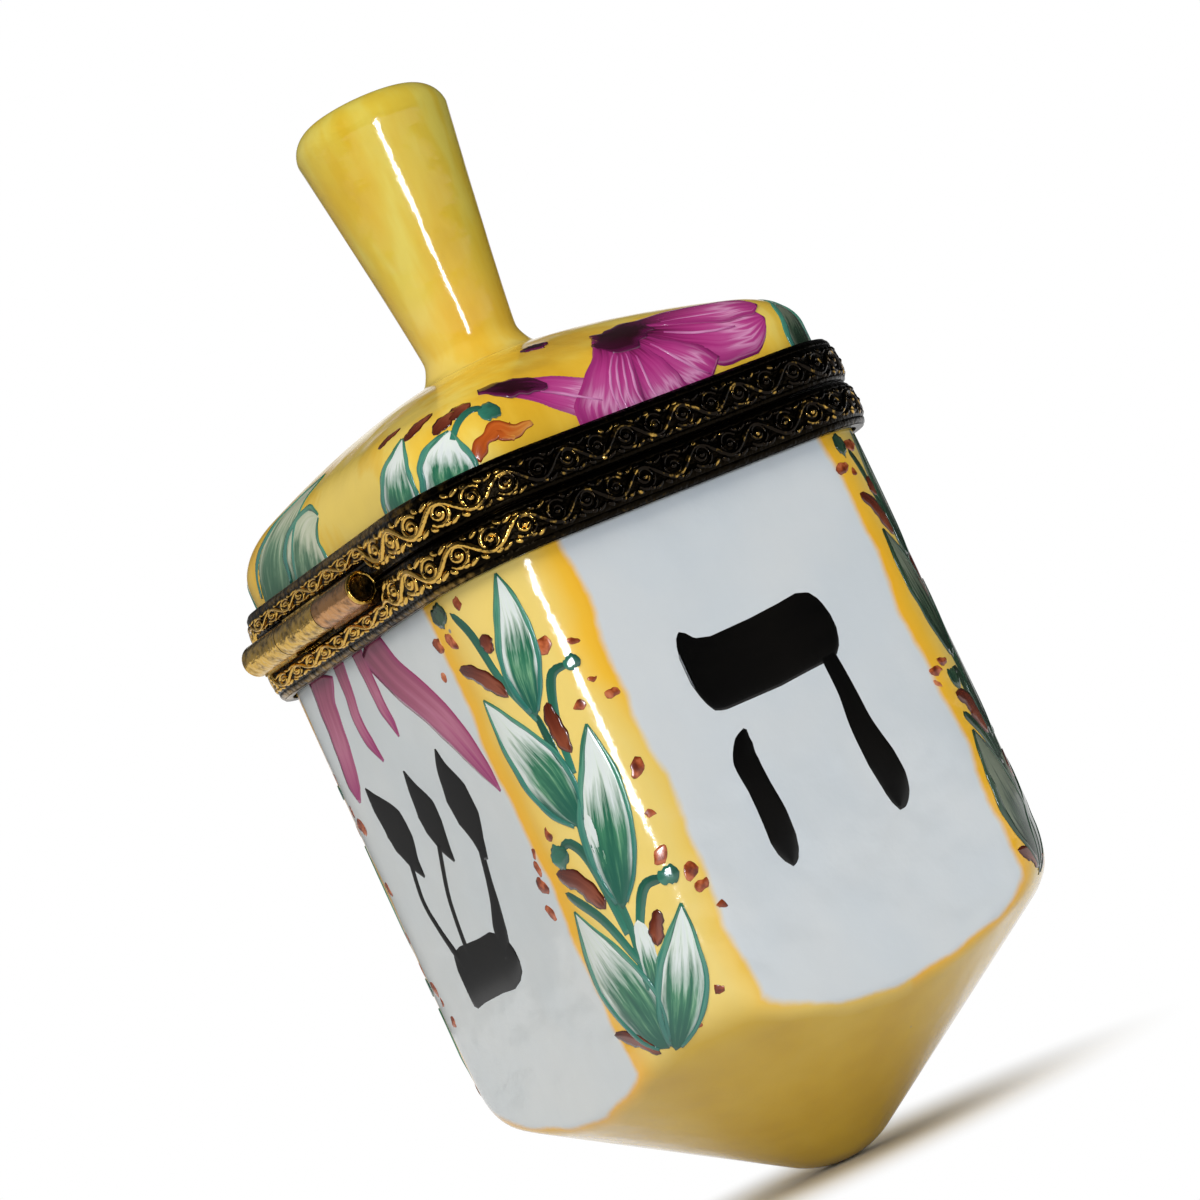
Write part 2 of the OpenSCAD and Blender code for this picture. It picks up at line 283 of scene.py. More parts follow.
columns = np.linspace(-2 * side, 2 * side, 256, endpoint=False)
angles = side_angle(columns)


def ring(reach, z):
    """One ring of points at height z, with the reach given for every column."""
    reach = np.broadcast_to(reach, angles.shape)
    return np.column_stack([reach * np.cos(angles), reach * np.sin(angles), np.broadcast_to(z, angles.shape)])


def square(inset, angle=angles):
    """Reach of the body's square, moved in by an inset."""
    return square_reach(angle, half - inset, corner - inset)


def body_reach(z, angle=angles):
    """Outer form of the body: the square and the turned form melted together."""
    return melt(square(0, angle), turned_reach(z, 0), outer_melt)


# %% A closed skin from rings
def ring_quads(count, around, closed=False):
    """Faces from each ring of a stack to the next, and from the last to the first if the stack is closed."""
    j = np.arange(around)
    k = (j + 1) % around
    pairs = [(i * around, (i + 1) % count * around) for i in range(count if closed else count - 1)]
    return np.vstack([np.column_stack([a + j, a + k, b + k, b + j]) for a, b in pairs]).tolist()


def smooth_mesh(name, points, faces):
    """A smooth mesh, in metres, from points in millimetres."""
    mesh = bpy.data.meshes.new(name)
    mesh.from_pydata((np.array(points) * MM).tolist(), [], faces)
    mesh.polygons.foreach_set("use_smooth", [True] * len(mesh.polygons))
    return mesh


def skin(name, rings, pole_low, pole_high):
    """A closed piece from a stack of rings and a point at each end."""
    count, around = len(rings), len(rings[0])
    low, high, last = count * around, count * around + 1, (count - 1) * around
    beside = [(j, (j + 1) % around) for j in range(around)]
    caps = [(low, b, a) for a, b in beside] + [(high, last + a, last + b) for a, b in beside]
    points = np.vstack([*rings, [pole_low], [pole_high]])
    return put(name, smooth_mesh(name, points, ring_quads(count, around) + caps))


def ground_tree(rings):
    """A search tree on the outer rings, in millimetres, on which brush strokes are laid."""
    return BVHTree.FromPolygons(np.vstack(rings).tolist(), ring_quads(len(rings), len(rings[0])))


tip_levels = tip_radius * (1 - np.cos(np.linspace(0.10, math.pi / 2 - slope, 8)))
levels = np.concatenate([tip_levels, np.arange(1.4, 20.0, 0.3), np.linspace(20.2, step_z - 0.25, 36)])
outer = [ring(body_reach(z), z) for z in levels]
rim_edge = [ring(square(0.05), step_z - 0.05), ring(square(rim_recess), step_z),
            ring(square(rim_recess), base_rim)]
inner_levels = np.concatenate([
    np.linspace(base_rim, 20.0, 24), np.arange(19.5, 4.2, -0.6), [3.9, 3.5, 3.2, 3.0, 2.86]])
hollow = [ring(melt(square(body_wall), turned_reach(z, body_wall), inner_melt), z) for z in inner_levels]
body = skin("body_porcelain", outer + rim_edge + hollow, (0, 0, 0), (0, 0, body_wall))
body_ground = ground_tree(outer + rim_edge[:1])
print("body:", len(body.data.polygons), "faces")

# %% [markdown]
# ## The lid and its stem
# The lid starts as the same rounded square and turns round as it rises to the stem, as clay does when it is
# drawn up by hand. Each ring is a rounded square whose corner radius grows with height. The stem was luted
# on while the clay was damp, so a faint swelling is left round its foot.

# %% Rings of the lid
lid_wall, lid_rim, skirt_z, edge_r = 2.15, 50.35, 54.4, 4.0
dome_a, dome_r, dome_z = 13.75, 32.0594, 29.9406
edge_turn = math.radians(60.66)
foot_r, foot_z, foot_bend, foot_turn = 5.6, 63.536, 2.0, math.radians(80.54)
waist_r, head_r, head_z, head_edge, stem_top = 3.6, 5.85, 80.3, 1.9, 82.6
crown = 0.2                                       # how far the top of the stem bulges


def lid_corner(h, inset):
    """Corner radius of a lid ring of half width h: the body's at the skirt, a full circle at the stem."""
    k = np.clip((half - h - inset) / (half - foot_r), 0, 1)
    return h * (corner / half + (1 - corner / half) * k ** 0.9) if h + inset < half - 1e-6 else corner - inset


def dome(inset, steps):
    """Rings from the rim of the lid to the foot of the stem."""
    rings = [(half - inset, lid_rim), (half - inset, lid_rim + 1.4), (half - inset, lid_rim + 2.8)]
    rings += [(dome_a + (edge_r - inset) * math.cos(t), skirt_z + (edge_r - inset) * math.sin(t))
              for t in np.linspace(0, edge_turn, steps)]
    rings += [((dome_r - inset) * math.cos(t), dome_z + (dome_r - inset) * math.sin(t))
              for t in np.linspace(edge_turn, foot_turn, 2 * steps)[1:]]
    return [ring(square_reach(angles, h, lid_corner(h, inset)), z) for h, z in rings]


lid_outer = dome(0, 20)
for t in np.linspace(math.pi + foot_turn, math.pi, 16)[1:]:
    swell = 0.09 * math.exp(-((t - math.pi - 0.45) / 0.35) ** 2)
    lid_outer.append(ring(foot_r + foot_bend * math.cos(t) + swell, foot_z + foot_bend * math.sin(t)))
for k in np.linspace(0, 1, 40)[1:]:
    lid_outer.append(ring(waist_r + (head_r - waist_r) * k ** 1.1, foot_z + (head_z - foot_z) * k))
for t in np.linspace(0, math.pi / 2, 14)[1:]:
    lid_outer.append(ring(head_r - head_edge + head_edge * math.cos(t),
                          head_z + head_edge * math.sin(t) + crown * (1 - math.cos(t))))
for k in np.linspace(1, 0.06, 8)[1:]:
    lid_outer.append(ring((head_r - head_edge) * k, stem_top - crown * k * k))
lid_inner = dome(lid_wall, 14)
lid = skin("lid_porcelain", lid_inner[::-1] + lid_outer,
           (0, 0, dome_z + dome_r - lid_wall + 0.05), (0, 0, stem_top))
lid_ground = ground_tree(lid_outer)
print("lid:", len(lid.data.polygons), "faces")

# %% [markdown]
# ## Painted grounds under the glaze
# The painter left four white panels and washed the corners, the cone and the whole lid with yellow. A wash
# is deeper where the brush ended, so the yellow grows richer towards each edge and then fades out softly.
# The distance to the edge of the wash is worked out for every point and kept as an attribute, and the
# material turns it into colour.


# %% Where the yellow lies
def wobble(z, seed):
    """A slow unevenness of the hand, in millimetres."""
    slow = 0.22 * np.sin(0.41 * z + seed) + 0.14 * np.sin(0.93 * z + 2.1 * seed)
    return slow + 0.05 * np.sin(2.1 * z + seed)


def keep(mesh, name, values):
    """Keeps a number at every point of a mesh."""
    mesh.attributes.new(name, "FLOAT", "POINT").data.foreach_set("value", np.asarray(values, np.float32))


# left and right edge of the yellow at each corner, in millimetres from the corner
BAND_EDGES = {-2: (-5.4, 3.0), -1: (-7.3, 4.9), 0: (-4.6, 5.2), 1: (-5.4, 5.2)}
BARE = -5.0                                       # millimetres from the wash, for all of the inside
places = np.empty(len(body.data.vertices) * 3)
body.data.vertices.foreach_get("co", places)
x, y, z = (places.reshape(-1, 3) / MM).T
s_of = np.append(np.tile(columns, len(outer) + len(rim_edge) + len(hollow)), [0.0, 0.0])
nearest = np.clip(np.round(s_of / side - 0.5), -2, 1).astype(int)
from_corner = s_of - (nearest + 0.5) * side
band_left = np.array([BAND_EDGES[k][0] for k in nearest]) - wobble(z, nearest + 1.0)
band_right = np.array([BAND_EDGES[k][1] for k in nearest]) + wobble(z, nearest + 4.0)
band_right = band_right + np.where(nearest == -1, 0.022 * (z - 30), 0)
band = np.minimum(from_corner - band_left, band_right - from_corner)
# where the wash is thinner, low beside one corner
thin = np.where((nearest == -1) & (from_corner > 1.5), np.clip((37 - z) / 5, 0, 1), 0.0)
cone = square(0, np.arctan2(y, x)) - turned_reach(z, 0)
cone = cone + 0.45 + 0.2 * np.sin(s_of * 0.45) + 0.12 * np.sin(s_of * 1.3)
inside = np.arange(len(z)) >= (len(outer) + len(rim_edge)) * len(columns)
inside[-2:] = (False, True)
wash = np.where(inside, BARE, np.maximum(band, cone))
for name, values in (("wash", wash), ("cone", np.where(inside, BARE, cone)), ("thin", thin)):
    keep(body.data, name, values)
print("yellow covers", round(float((wash > 0).mean()) * 100), "% of the body's points")


# %% Glazed porcelain of the body: white biscuit, yellow wash, one clear glossy glaze over both
def glaze(tree, shader, place, colour):
    """A clear fired glaze: high gloss, with slow waves 6 mm wide and fine dimples of 0.4 mm from the kiln."""
    waves = add(tree, "TexNoise", {"Vector": place, "Scale": 170.0, "Detail": 2.0})
    dimples = add(tree, "TexNoise", {"Vector": place, "Scale": 2300.0, "Detail": 1.0})
    bump = add(tree, "Bump", {"Height": waves, "Strength": 1.0, "Distance": 0.00022})
    bump = add(tree, "Bump", {"Height": dimples, "Strength": 1.0, "Distance": 0.000008, "Normal": bump})
    rough = add(tree, "MapRange", (waves, 0.0, 1.0, 0.07, 0.14))
    fill(tree, shader, {"Base Color": colour, "Roughness": rough, "Normal": bump, "IOR": 1.5})


porcelain, tree, shader = new_material("hand_painted_glazed_porcelain")
place = add(tree, "TexCoord").outputs["Object"]
wash_mm, cone_mm, thin_share = (
    add(tree, "Attribute", attribute_name=name).outputs["Fac"] for name in ("wash", "cone", "thin"))
hairs = add(tree, "TexNoise", {"Vector": place, "Scale": 900.0, "Detail": 3.0})     # brush hairs, 1 mm
cloud = add(tree, "TexNoise", {"Vector": place, "Scale": 130.0, "Detail": 2.0})     # uneven wash, 8 mm
frayed = add(tree, "Math", (hairs, 0.35, wash_mm), operation="MULTIPLY_ADD")
covered = add(tree, "MapRange", (frayed, -0.15, 0.55), interpolation_type="SMOOTHSTEP")
thinned = add(tree, "Math", (thin_share, 1.7, wash_mm), operation="MULTIPLY_ADD")
clouded = add(tree, "Math", (cloud, 2.2, thinned), operation="MULTIPLY_ADD")
depth = add(tree, "MapRange", (clouded, 0.9, 4.6))
yellow = add(tree, "ValToRGB", (depth,), [
    (0.0, "#EDB22A"), (0.35, "#E9B83A"), (0.7, "#E4C463"), (1.0, "#E0C873")])
on_cone = add(tree, "MapRange", (cone_mm, 0.2, 1.6))
tip_yellow = add(tree, "ValToRGB", (cloud,), [(0.3, "#CBA630"), (0.5, "#D2AE36"), (0.7, "#D8B642")])
yellows = add(tree, "Mix", {"Factor": on_cone, "A": yellow, "B": tip_yellow}, data_type="RGBA")
whites = add(tree, "ValToRGB", (cloud,), [(0.35, "#C8D1D9"), (0.65, "#CDD4DA")])
painted = add(tree, "Mix", {"Factor": covered, "A": whites, "B": yellows}, data_type="RGBA")
speck = add(tree, "TexVoronoi", {"Vector": place, "Scale": 120.0})                  # kiln specks, 0.1 mm
clear = add(tree, "MapRange", (speck, 0.018, 0.026))
colour = add(tree, "Mix", {"Factor": clear, "A": "#8E8A80", "B": painted}, data_type="RGBA")
glaze(tree, shader, place, colour)
body.data.materials.append(porcelain)
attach(body, "base")
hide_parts("body_shell")

# %% Yellow porcelain of the lid: the same glaze over a wash brushed up and down the stem
lid_yellow, tree, shader = new_material("yellow_glazed_porcelain")
place = add(tree, "TexCoord").outputs["Object"]
lengthwise = add(tree, "Mapping", {"Vector": place, "Scale": (1.0, 1.0, 0.18)})
strokes = add(tree, "TexNoise", {"Vector": lengthwise, "Scale": 420.0, "Detail": 3.0})    # brush marks, 2 mm
cloud = add(tree, "TexNoise", {"Vector": place, "Scale": 95.0, "Detail": 1.5})            # uneven wash, 10 mm
mixed = add(tree, "Math", (strokes, 0.75, cloud), operation="MULTIPLY_ADD")
colour = add(tree, "ValToRGB", (mixed,), [
    (0.60, "#D6A92C"), (0.78, "#DEB53A"), (0.92, "#E0BF4C"), (1.0, "#E2C962")])
# painted shade: from 63 mm up, the stem's yellow is multiplied darker and cooler, because the warm wide lamp
# above lights the stem more
on_stem = add(tree, "MapRange", (add(tree, "SeparateXYZ", (place,)).outputs["Z"], 0.063, 0.070))
stem_painted_shade = add(tree, "Mix", {"Factor": on_stem, "A": colour, "B": "#ECF6E2"},
            data_type="RGBA", blend_type="MULTIPLY")
under = add(tree, "Attribute", attribute_name="inside").outputs["Fac"]
colour = add(tree, "Mix", {"Factor": under, "A": stem_painted_shade, "B": "#DCE0E2"}, data_type="RGBA")
glaze(tree, shader, place, colour)
under_lid = np.zeros(len(lid.data.vertices))
under_lid[:len(lid_inner) * len(columns)] = under_lid[-2] = 1.0
keep(lid.data, "inside", under_lid)
lid.data.materials.append(lid_yellow)
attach(lid, "lid")
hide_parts("lid_shell")
print("porcelain is glazed")

# %% [markdown]
# ## How a brush stroke is made
# Enamel stands a few hundredths of a millimetre above the glaze. Each stroke here is a thin closed lens: a
# path is smoothed, set down on the porcelain, widened to both sides and set down again, so that it bends
# round corners. Its UV map runs along and across the stroke, which lets one material draw the hairs of the
# brush in any direction.

# %% Places on the porcelain
LID_MIDDLE = Vector((0, 0, 50))


def on_body(s, z):
    """The point of the body at distance s round it and height z, in millimetres."""
    a = float(side_angle(s))
    r = float(body_reach(z, a))
    return (r * math.cos(a), r * math.sin(a), z)


def on_lid(azimuth, elevation):
    """The point of the lid seen from its middle in that direction, in degrees."""
    a, e = math.radians(azimuth), math.radians(elevation)
    way = Vector((math.cos(a) * math.cos(e), math.sin(a) * math.cos(e), math.sin(e)))
    return tuple(lid_ground.ray_cast(LID_MIDDLE + way * 60, -way)[0] or LID_MIDDLE + way * 18)


def smooth_path(points, count):
    """Evenly spaced points on a smooth curve through the given ones."""
    p = np.array(points, float)
    p = np.vstack([2 * p[0] - p[1], p, 2 * p[-1] - p[-2]])
    t = np.linspace(0, len(p) - 3 - 1e-6, 8 * count)
    i = t.astype(int)
    f = (t - i)[:, None]
    a, b, c, d = p[i], p[i + 1], p[i + 2], p[i + 3]
    q = 0.5 * (2 * b + (c - a) * f + (2 * a - 5 * b + 4 * c - d) * f ** 2 + (3 * b - a - 3 * c + d) * f ** 3)
    along = np.append(0, np.cumsum(np.linalg.norm(np.diff(q, axis=0), axis=1)))
    even = np.linspace(0, along[-1], count)
    return np.column_stack([np.interp(even, along, q[:, k]) for k in range(3)])


# %% The stroke itself
# millimetres: from layer to layer, edge below the glaze, underside below it
LAYER, SINK, ROOT = 0.022, 0.008, 0.08
THINNEST, BULGE = 0.012, 0.6                      # least half width in millimetres, and how full the lens is
hand = np.random.default_rng(11)


def new_paint():
    """An empty heap of strokes for one piece."""
    return {"points": [], "faces": [], "uv": [], "seed": []}


def brush(paint, ground, path, left, right, layer=0, lift=0.04, count=28, across=8, ragged=0.0):
    """Lays a stroke and returns its edges; left and right give half widths in mm by the share along it."""
    phase = hand.uniform(0, 6.28, 2)
    pace = hand.uniform(7, 12, 2)
    centre = np.array([ground.find_nearest(Vector(p))[0] for p in smooth_path(path, count)])
    normal = np.array([ground.find_nearest(Vector(p))[1] for p in centre])
    ahead = np.gradient(centre, axis=0)
    ahead /= np.linalg.norm(ahead, axis=1)[:, None] + 1e-9
    sideways = np.cross(ahead, normal)
    top, bottom, uv = [], [], []
    for i, u in enumerate(np.linspace(0, 1, count)):
        for v in np.linspace(-1, 1, across + 1):
            k = int(v > 0)
            sway = 0.6 * math.sin(pace[k] * u + phase[k]) + 0.4 * math.sin(2.7 * pace[k] * u + 2 * phase[k])
            w = max(THINNEST, (right if v > 0 else left)(u) * (1 + ragged * sway)) * v
            foot, out, _, _ = ground.find_nearest(Vector(centre[i] + sideways[i] * w))
            top.append(foot + out * (LAYER * layer + lift * (1 - v * v) ** BULGE - SINK))
            bottom.append(foot - out * ROOT)
            uv.append((u, v / 2 + 0.5))
    base, m, under = len(paint["points"]), across + 1, count * (across + 1)
    for row in range(base, base + under - m, m):
        for a in range(row, row + across):
            b, c, d = a + 1, a + m + 1, a + m
            paint["faces"] += [(a, b, c, d), (a + under, d + under, c + under, b + under)]
        for a, turn in ((row, 1), (row + across, -1)):
            paint["faces"].append((a, a + m, a + m + under, a + under)[::turn])
    for row, turn in ((base, 1), (base + under - m, -1)):
        paint["faces"] += [(a, a + 1, a + 1 + under, a + under)[::turn] for a in range(row, row + across)]
    paint["points"] += [tuple(p) for p in top + bottom]
    paint["uv"] += uv + uv
    paint["seed"] += [float(len(paint["seed"]) % 9973) / 37.0] * (2 * under)
    rows = np.array([tuple(p) for p in top]).reshape(count, m, 3)
    return rows[:, 0], rows[:, -1]


def even_brush(paint, ground, path, width, **more):
    """Lays a stroke that is as wide to its left as to its right."""
    return brush(paint, ground, path, width, width, **more)


def rows_brush(paint, ground, place, rows, **more):
    """Lays a stroke from rows of (place, place, half width)."""
    p = np.array(rows, float)
    share = np.append(0, np.cumsum(np.linalg.norm(np.diff(p[:, :2], axis=0), axis=1)))
    width = lambda u: float(np.interp(u, share / share[-1], p[:, 2]))
    return even_brush(paint, ground, [place(a, b) for a, b, _ in rows], width, **more)


# %% From strokes to a piece
def face_outward(mesh):
    """Turns the faces of closed shapes outward."""
    shapes = bmesh.new()
    shapes.from_mesh(mesh)
    bmesh.ops.recalc_face_normals(shapes, faces=shapes.faces)
    shapes.to_mesh(mesh)
    shapes.free()


def new_piece(name, mesh, body_name):
    """Makes a mesh a piece that rides on a body."""
    piece = put(name, mesh)
    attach(piece, body_name)
    print(name, "has", len(mesh.polygons), "faces")


def paint_piece(name, paint, body_name, material):
    """Turns the gathered strokes into one mesh piece that rides on a body."""
    mesh = smooth_mesh(name, paint["points"], paint["faces"])
    index = np.empty(len(mesh.loops), int)
    mesh.loops.foreach_get("vertex_index", index)
    mesh.uv_layers.new(name="stroke").data.foreach_set("uv", np.array(paint["uv"], np.float32)[index].ravel())
    keep(mesh, "seed", paint["seed"])
    face_outward(mesh)
    mesh.materials.append(material)
    new_piece(name, mesh, body_name)


# %% [markdown]
# ## Enamel colours
# The colours are metal oxides in a soft glass, fired onto the glaze. A loaded brush leaves more colour
# where it is first pressed down and hair lines where it runs dry. Each enamel is a ramp along the stroke,
# broken up by a noise that is stretched along it, with a few hairs across its width.


# %% One builder for the leaves and one for all other enamels
def stroke_hairs(tree, along, across, detail, rough=0.5):
    """The shares along and across a stroke, and a noise of brush hairs stretched along it."""
    u, v, _ = add(tree, "SeparateXYZ", (add(tree, "UVMap", uv_map="stroke"),)).outputs
    far = add(tree, "Math", (u, along), operation="MULTIPLY")
    wide = add(tree, "Math", (v, across), operation="MULTIPLY")
    seed = add(tree, "Attribute", attribute_name="seed").outputs["Fac"]
    return u, v, add(tree, "TexNoise", {"Vector": add(tree, "CombineXYZ", (far, wide, seed)), "Scale": 1.0,
                                        "Detail": detail, "Roughness": rough})


def from_line(tree, value, line):
    """How far a value is from a line, to either side."""
    return add(tree, "Math", (add(tree, "Math", (value, line), operation="SUBTRACT"),), operation="ABSOLUTE")


def enamel(name, along, across, ragged, stops, edge=None, gloss=0.12):
    """An enamel whose colour runs along a ramp, pushed about by brush hairs; edge gives a darker rim."""
    material, tree, shader = new_material(name)
    u, v, hairs = stroke_hairs(tree, along, across, 3.0)
    centred = add(tree, "Math", (hairs, 0.5), operation="SUBTRACT")
    pushed = add(tree, "Math", (centred, ragged, u), operation="MULTIPLY_ADD")
    colour = add(tree, "ValToRGB", (pushed,), stops)
    if edge:
        rim = add(tree, "MapRange", (from_line(tree, v, 0.5), 0.30, 0.46))
        colour = add(tree, "Mix", {"Factor": rim, "A": colour, "B": edge}, data_type="RGBA")
    fill(tree, shader, {"Base Color": colour, "Roughness": gloss, "IOR": 1.52,
                        "Coat Weight": 0.3, "Coat Roughness": 0.05})
    return material


def leaf_paint(name, greens, pales, foot_green):
    """A white leaf with a wet green wash pulled up from its foot, short of its edges, and a dark foot."""
    material, tree, shader = new_material(name)
    u, v, hairs = stroke_hairs(tree, 2.4, 9.0, 4.0, rough=0.6)
    up = add(tree, "Math", (hairs, 0.75, u), operation="MULTIPLY_ADD")
    off = add(tree, "Math", (hairs, 0.22, from_line(tree, v, 0.54)), operation="MULTIPLY_ADD")
    wash = add(tree, "MapRange", (up, 1.06, 0.80))
    inner = add(tree, "MapRange", (off, 0.53, 0.41))
    share = add(tree, "Math", (wash, inner), operation="MULTIPLY")
    green, pale = (add(tree, "ValToRGB", (hairs,), list(zip((0.3, 0.5, 0.7), colours)))
                   for colours in (greens, pales))
    washed = add(tree, "Mix", {"Factor": share, "A": pale, "B": green}, data_type="RGBA")
    foot = add(tree, "MapRange", (up, 0.80, 0.50))
    colour = add(tree, "Mix", {"Factor": foot, "A": washed, "B": foot_green}, data_type="RGBA")
    fill(tree, shader, {"Base Color": colour, "Roughness": 0.13, "IOR": 1.5})
    return material


def retouch(material, inputs):
    """Changes single inputs of a material's shader."""
    fill(material.node_tree, material.node_tree.nodes["Principled BSDF"], inputs)


# %% Mix the enamels
# copper greens: glassy washes, thin enough to let the white through
leaf_enamel = leaf_paint("copper_green_leaf_enamel", ("#235E4A", "#3C7A5E", "#74A684"),
                         ("#C9D8CE", "#D2DCDD", "#CBD5DA"), "#235B4E")
# painted shade: a darker olive copy of the leaf enamel, for the corner of the body and the part of the lid
# above it that lie in shade
olive_shade_enamel = leaf_paint("painted_shade_leaf_enamel", ("#1F3527", "#2F4636", "#4A5C46"),
                               ("#5E6A58", "#768070", "#66725F"), "#1C3022")
grey_leaf_enamel = leaf_paint("grey_green_leaf_enamel", ("#3F6A52", "#5C8268", "#86A488"),
                              ("#A9B79C", "#BCC6B0", "#C6CDBF"), "#34604A")
line_enamel = enamel("teal_outline_enamel", 4.0, 3.0, 1.2, [
    (0.0, "#2A6B62"), (0.4, "#3B7D70"), (0.7, "#4F8C77"), (1.0, "#2F6A55")])
# painted shade: a darker olive copy of the outline enamel, for the same corner
olive_shade_line_enamel = enamel("painted_shade_line_enamel", 4.0, 3.0, 1.2, [
    (0.0, "#1E3A2C"), (0.4, "#2A4636"), (0.7, "#36503C"), (1.0, "#1C3022")])
stem_enamel = enamel("deep_green_stem_enamel", 3.0, 5.0, 1.0, [
    (0.0, "#2F7564"), (0.5, "#2B6656"), (1.0, "#214D40")])
# iron browns and orange: denser, with a dark rim where the colour dried
dark_brown_enamel = enamel("brown_stroke_enamel", 1.4, 5.0, 0.7, [
    (0.0, "#4A1C10"), (0.45, "#6A3020"), (0.8, "#84452F"), (1.0, "#55210F")], edge="#43170C")
orange_enamel = enamel("orange_iron_enamel", 1.4, 4.0, 1.0, [
    (0.0, "#98400F"), (0.5, "#BC5A20"), (1.0, "#D28E40")], edge="#8E3A10")
# gold pinks and purples: dark where the brush set down, paler in hair lines towards the tip
petal_enamel = enamel("magenta_petal_enamel", 0.9, 15.0, 0.62, [
    (0.0, "#33081F"), (0.14, "#4E0F36"), (0.30, "#8E2468"), (0.48, "#A9357F"),
    (0.66, "#B54C8F"), (0.78, "#D08FBC"), (0.86, "#B14489"), (1.0, "#A02F7A")], edge="#932A70")
vein_enamel = enamel("pale_pink_line_enamel", 1.0, 3.0, 0.5, [
    (0.0, "#A93F8A"), (0.4, "#CC88BA"), (0.8, "#C67CB2"), (1.0, "#A93F8A")])
heart_enamel = enamel("dark_purple_enamel", 1.2, 6.0, 0.8, [
    (0.0, "#3E0D2C"), (0.4, "#260612"), (0.7, "#2E0A1C"), (1.0, "#541440")], edge="#561240")
mauve_enamel = enamel("mauve_petal_enamel", 0.8, 6.0, 0.8, [
    (0.0, "#84405A"), (0.3, "#9E5272"), (0.55, "#B46C8C"), (0.75, "#A8557F"), (0.9, "#993672"),
    (1.0, "#902C69")], edge="#8E3C66")
# black: dense and even, and duller than the glaze around it
black_enamel = enamel("black_mark_enamel", 1.0, 3.0, 0.8, [
    (0.0, "#070707"), (0.6, "#0D0C0B"), (1.0, "#070707")], gloss=0.1)
retouch(black_enamel, {"Coat Weight": 0.0, "Specular IOR Level": 0.28})
print("enamels are mixed")


# %% Shapes of stroke: half widths by the share along it
def leaf_width(w):
    """A leaf, fullest a little before its middle and pointed at both ends."""
    return lambda u: w * max(0.0, math.sin(math.pi * u ** 0.82)) ** 0.92


def dab_width(w):
    """An oval dab, round at both ends."""
    return lambda u: w * max(0.0, 1 - (2 * u - 1) ** 2) ** 0.5


def taper_width(w):
    """A stroke that widens as the brush is pressed down, with a round end."""
    return lambda u: w * (0.6 + 0.4 * u) * max(0.0, 1 - u ** 12) ** 0.5


def line_width(w):
    """A line that is fullest near its middle and thinnest at its end."""
    return lambda u: w * (0.35 + 0.65 * math.sin(math.pi * min(1.0, 0.1 + 0.9 * u)) ** 0.8)


def outline(ground, edges, lines, layer, widths):
    """A line of enamel along each edge of a leaf."""
    for edge, w in zip(edges, widths):
        even_brush(lines, ground, np.vstack([edge[1:-1:4], edge[-1:]]), line_width(w),
                   layer=layer + 2, lift=0.03, count=26, across=4, ragged=0.35)


def dab(paint, ground, path, width, layer):
    """A short touch of the brush, round at both ends."""
    even_brush(paint, ground, path, dab_width(width), layer=layer, lift=0.03, count=18, across=6, ragged=0.22)


# %% [markdown]
# ## The garland on the corners
# Each corner carries a climbing garland: pairs of pale leaves that grow out of one stem, thin tendrils that
# end in a bulb, brown strokes beside them, and small brown dots down both edges of the yellow. It is a
# common ornament. One layout is written here in millimetres from the middle of the corner, and each corner
# paints it a little differently. One corner is given painted shade: darker olive leaves and lines over a dark
# strip.

# %% Layout of one garland: places are (right of the corner, height), then come half widths
GARLAND_LEAVES = [
    ([(-1.3, 36.2), (-0.9, 39.5), (-0.1, 42.6), (0.3, 45.9)], 1.25, 1.35),
    ([(-1.6, 28.4), (-2.4, 32.2), (-3.7, 35.8), (-4.9, 38.8)], 2.2, 1.6),
    ([(-1.4, 22.4), (-0.4, 26.4), (0.8, 30.8), (1.6, 34.4)], 1.75, 1.7),
    ([(-2.9, 12.9), (-3.8, 16.6), (-4.9, 20.2), (-5.6, 23.6)], 2.7, 2.1),
    ([(-2.6, 12.6), (-0.6, 15.4), (1.0, 18.4), (2.3, 21.2)], 1.5, 1.7),
]
GARLAND_STEMS = [
    ([(-2.7, 13.2), (-2.3, 17.0), (-1.5, 21.0), (-1.5, 25.0), (-1.7, 29.0), (-1.2, 33.0),
      (-1.3, 37.0)], 0.40),
    ([(-1.3, 36.0), (-2.6, 39.4), (-3.3, 43.0), (-4.3, 45.0)], 0.42),
    ([(-0.6, 31.8), (-0.2, 35.2), (0.8, 38.2), (2.2, 38.5)], 0.42),
    ([(-1.9, 20.8), (-2.2, 26.0), (-3.1, 27.8), (-4.2, 27.6)], 0.46),
    ([(-1.5, 19.4), (-0.5, 21.6), (0.6, 23.2), (2.0, 23.2)], 0.46),
    ([(-1.9, 18.8), (-3.3, 22.4), (-5.7, 25.0)], 0.5),
]
GARLAND_PALE = [
    ([(-1.5, 24.2), (-1.1, 26.6), (-0.9, 29.0)], 0.62), ([(-1.8, 16.4), (-1.25, 19.0), (-0.8, 21.4)], 0.72),
]
GARLAND_BULBS = [(-5.6, 45.1, 0.95), (2.4, 38.4, 0.6), (-4.5, 27.2, 0.95), (2.3, 23.1, 0.75)]
GARLAND_BROWN = [
    ([(-6.1, 41.4), (-4.0, 40.2), (-2.6, 38.2)], 0.62), ([(-0.2, 36.8), (-0.4, 35.0), (-0.1, 33.1)], 0.55),
    ([(-5.7, 26.4), (-3.6, 25.0), (-2.6, 22.9)], 0.75), ([(0.7, 21.5), (0.1, 20.3), (-0.3, 19.3)], 0.50),
    ([(-7.6, 15.1), (-5.0, 14.1), (-3.7, 12.8)], 0.50), ([(-2.4, 42.7), (-2.4, 42.0), (-2.4, 41.3)], 0.50),
]
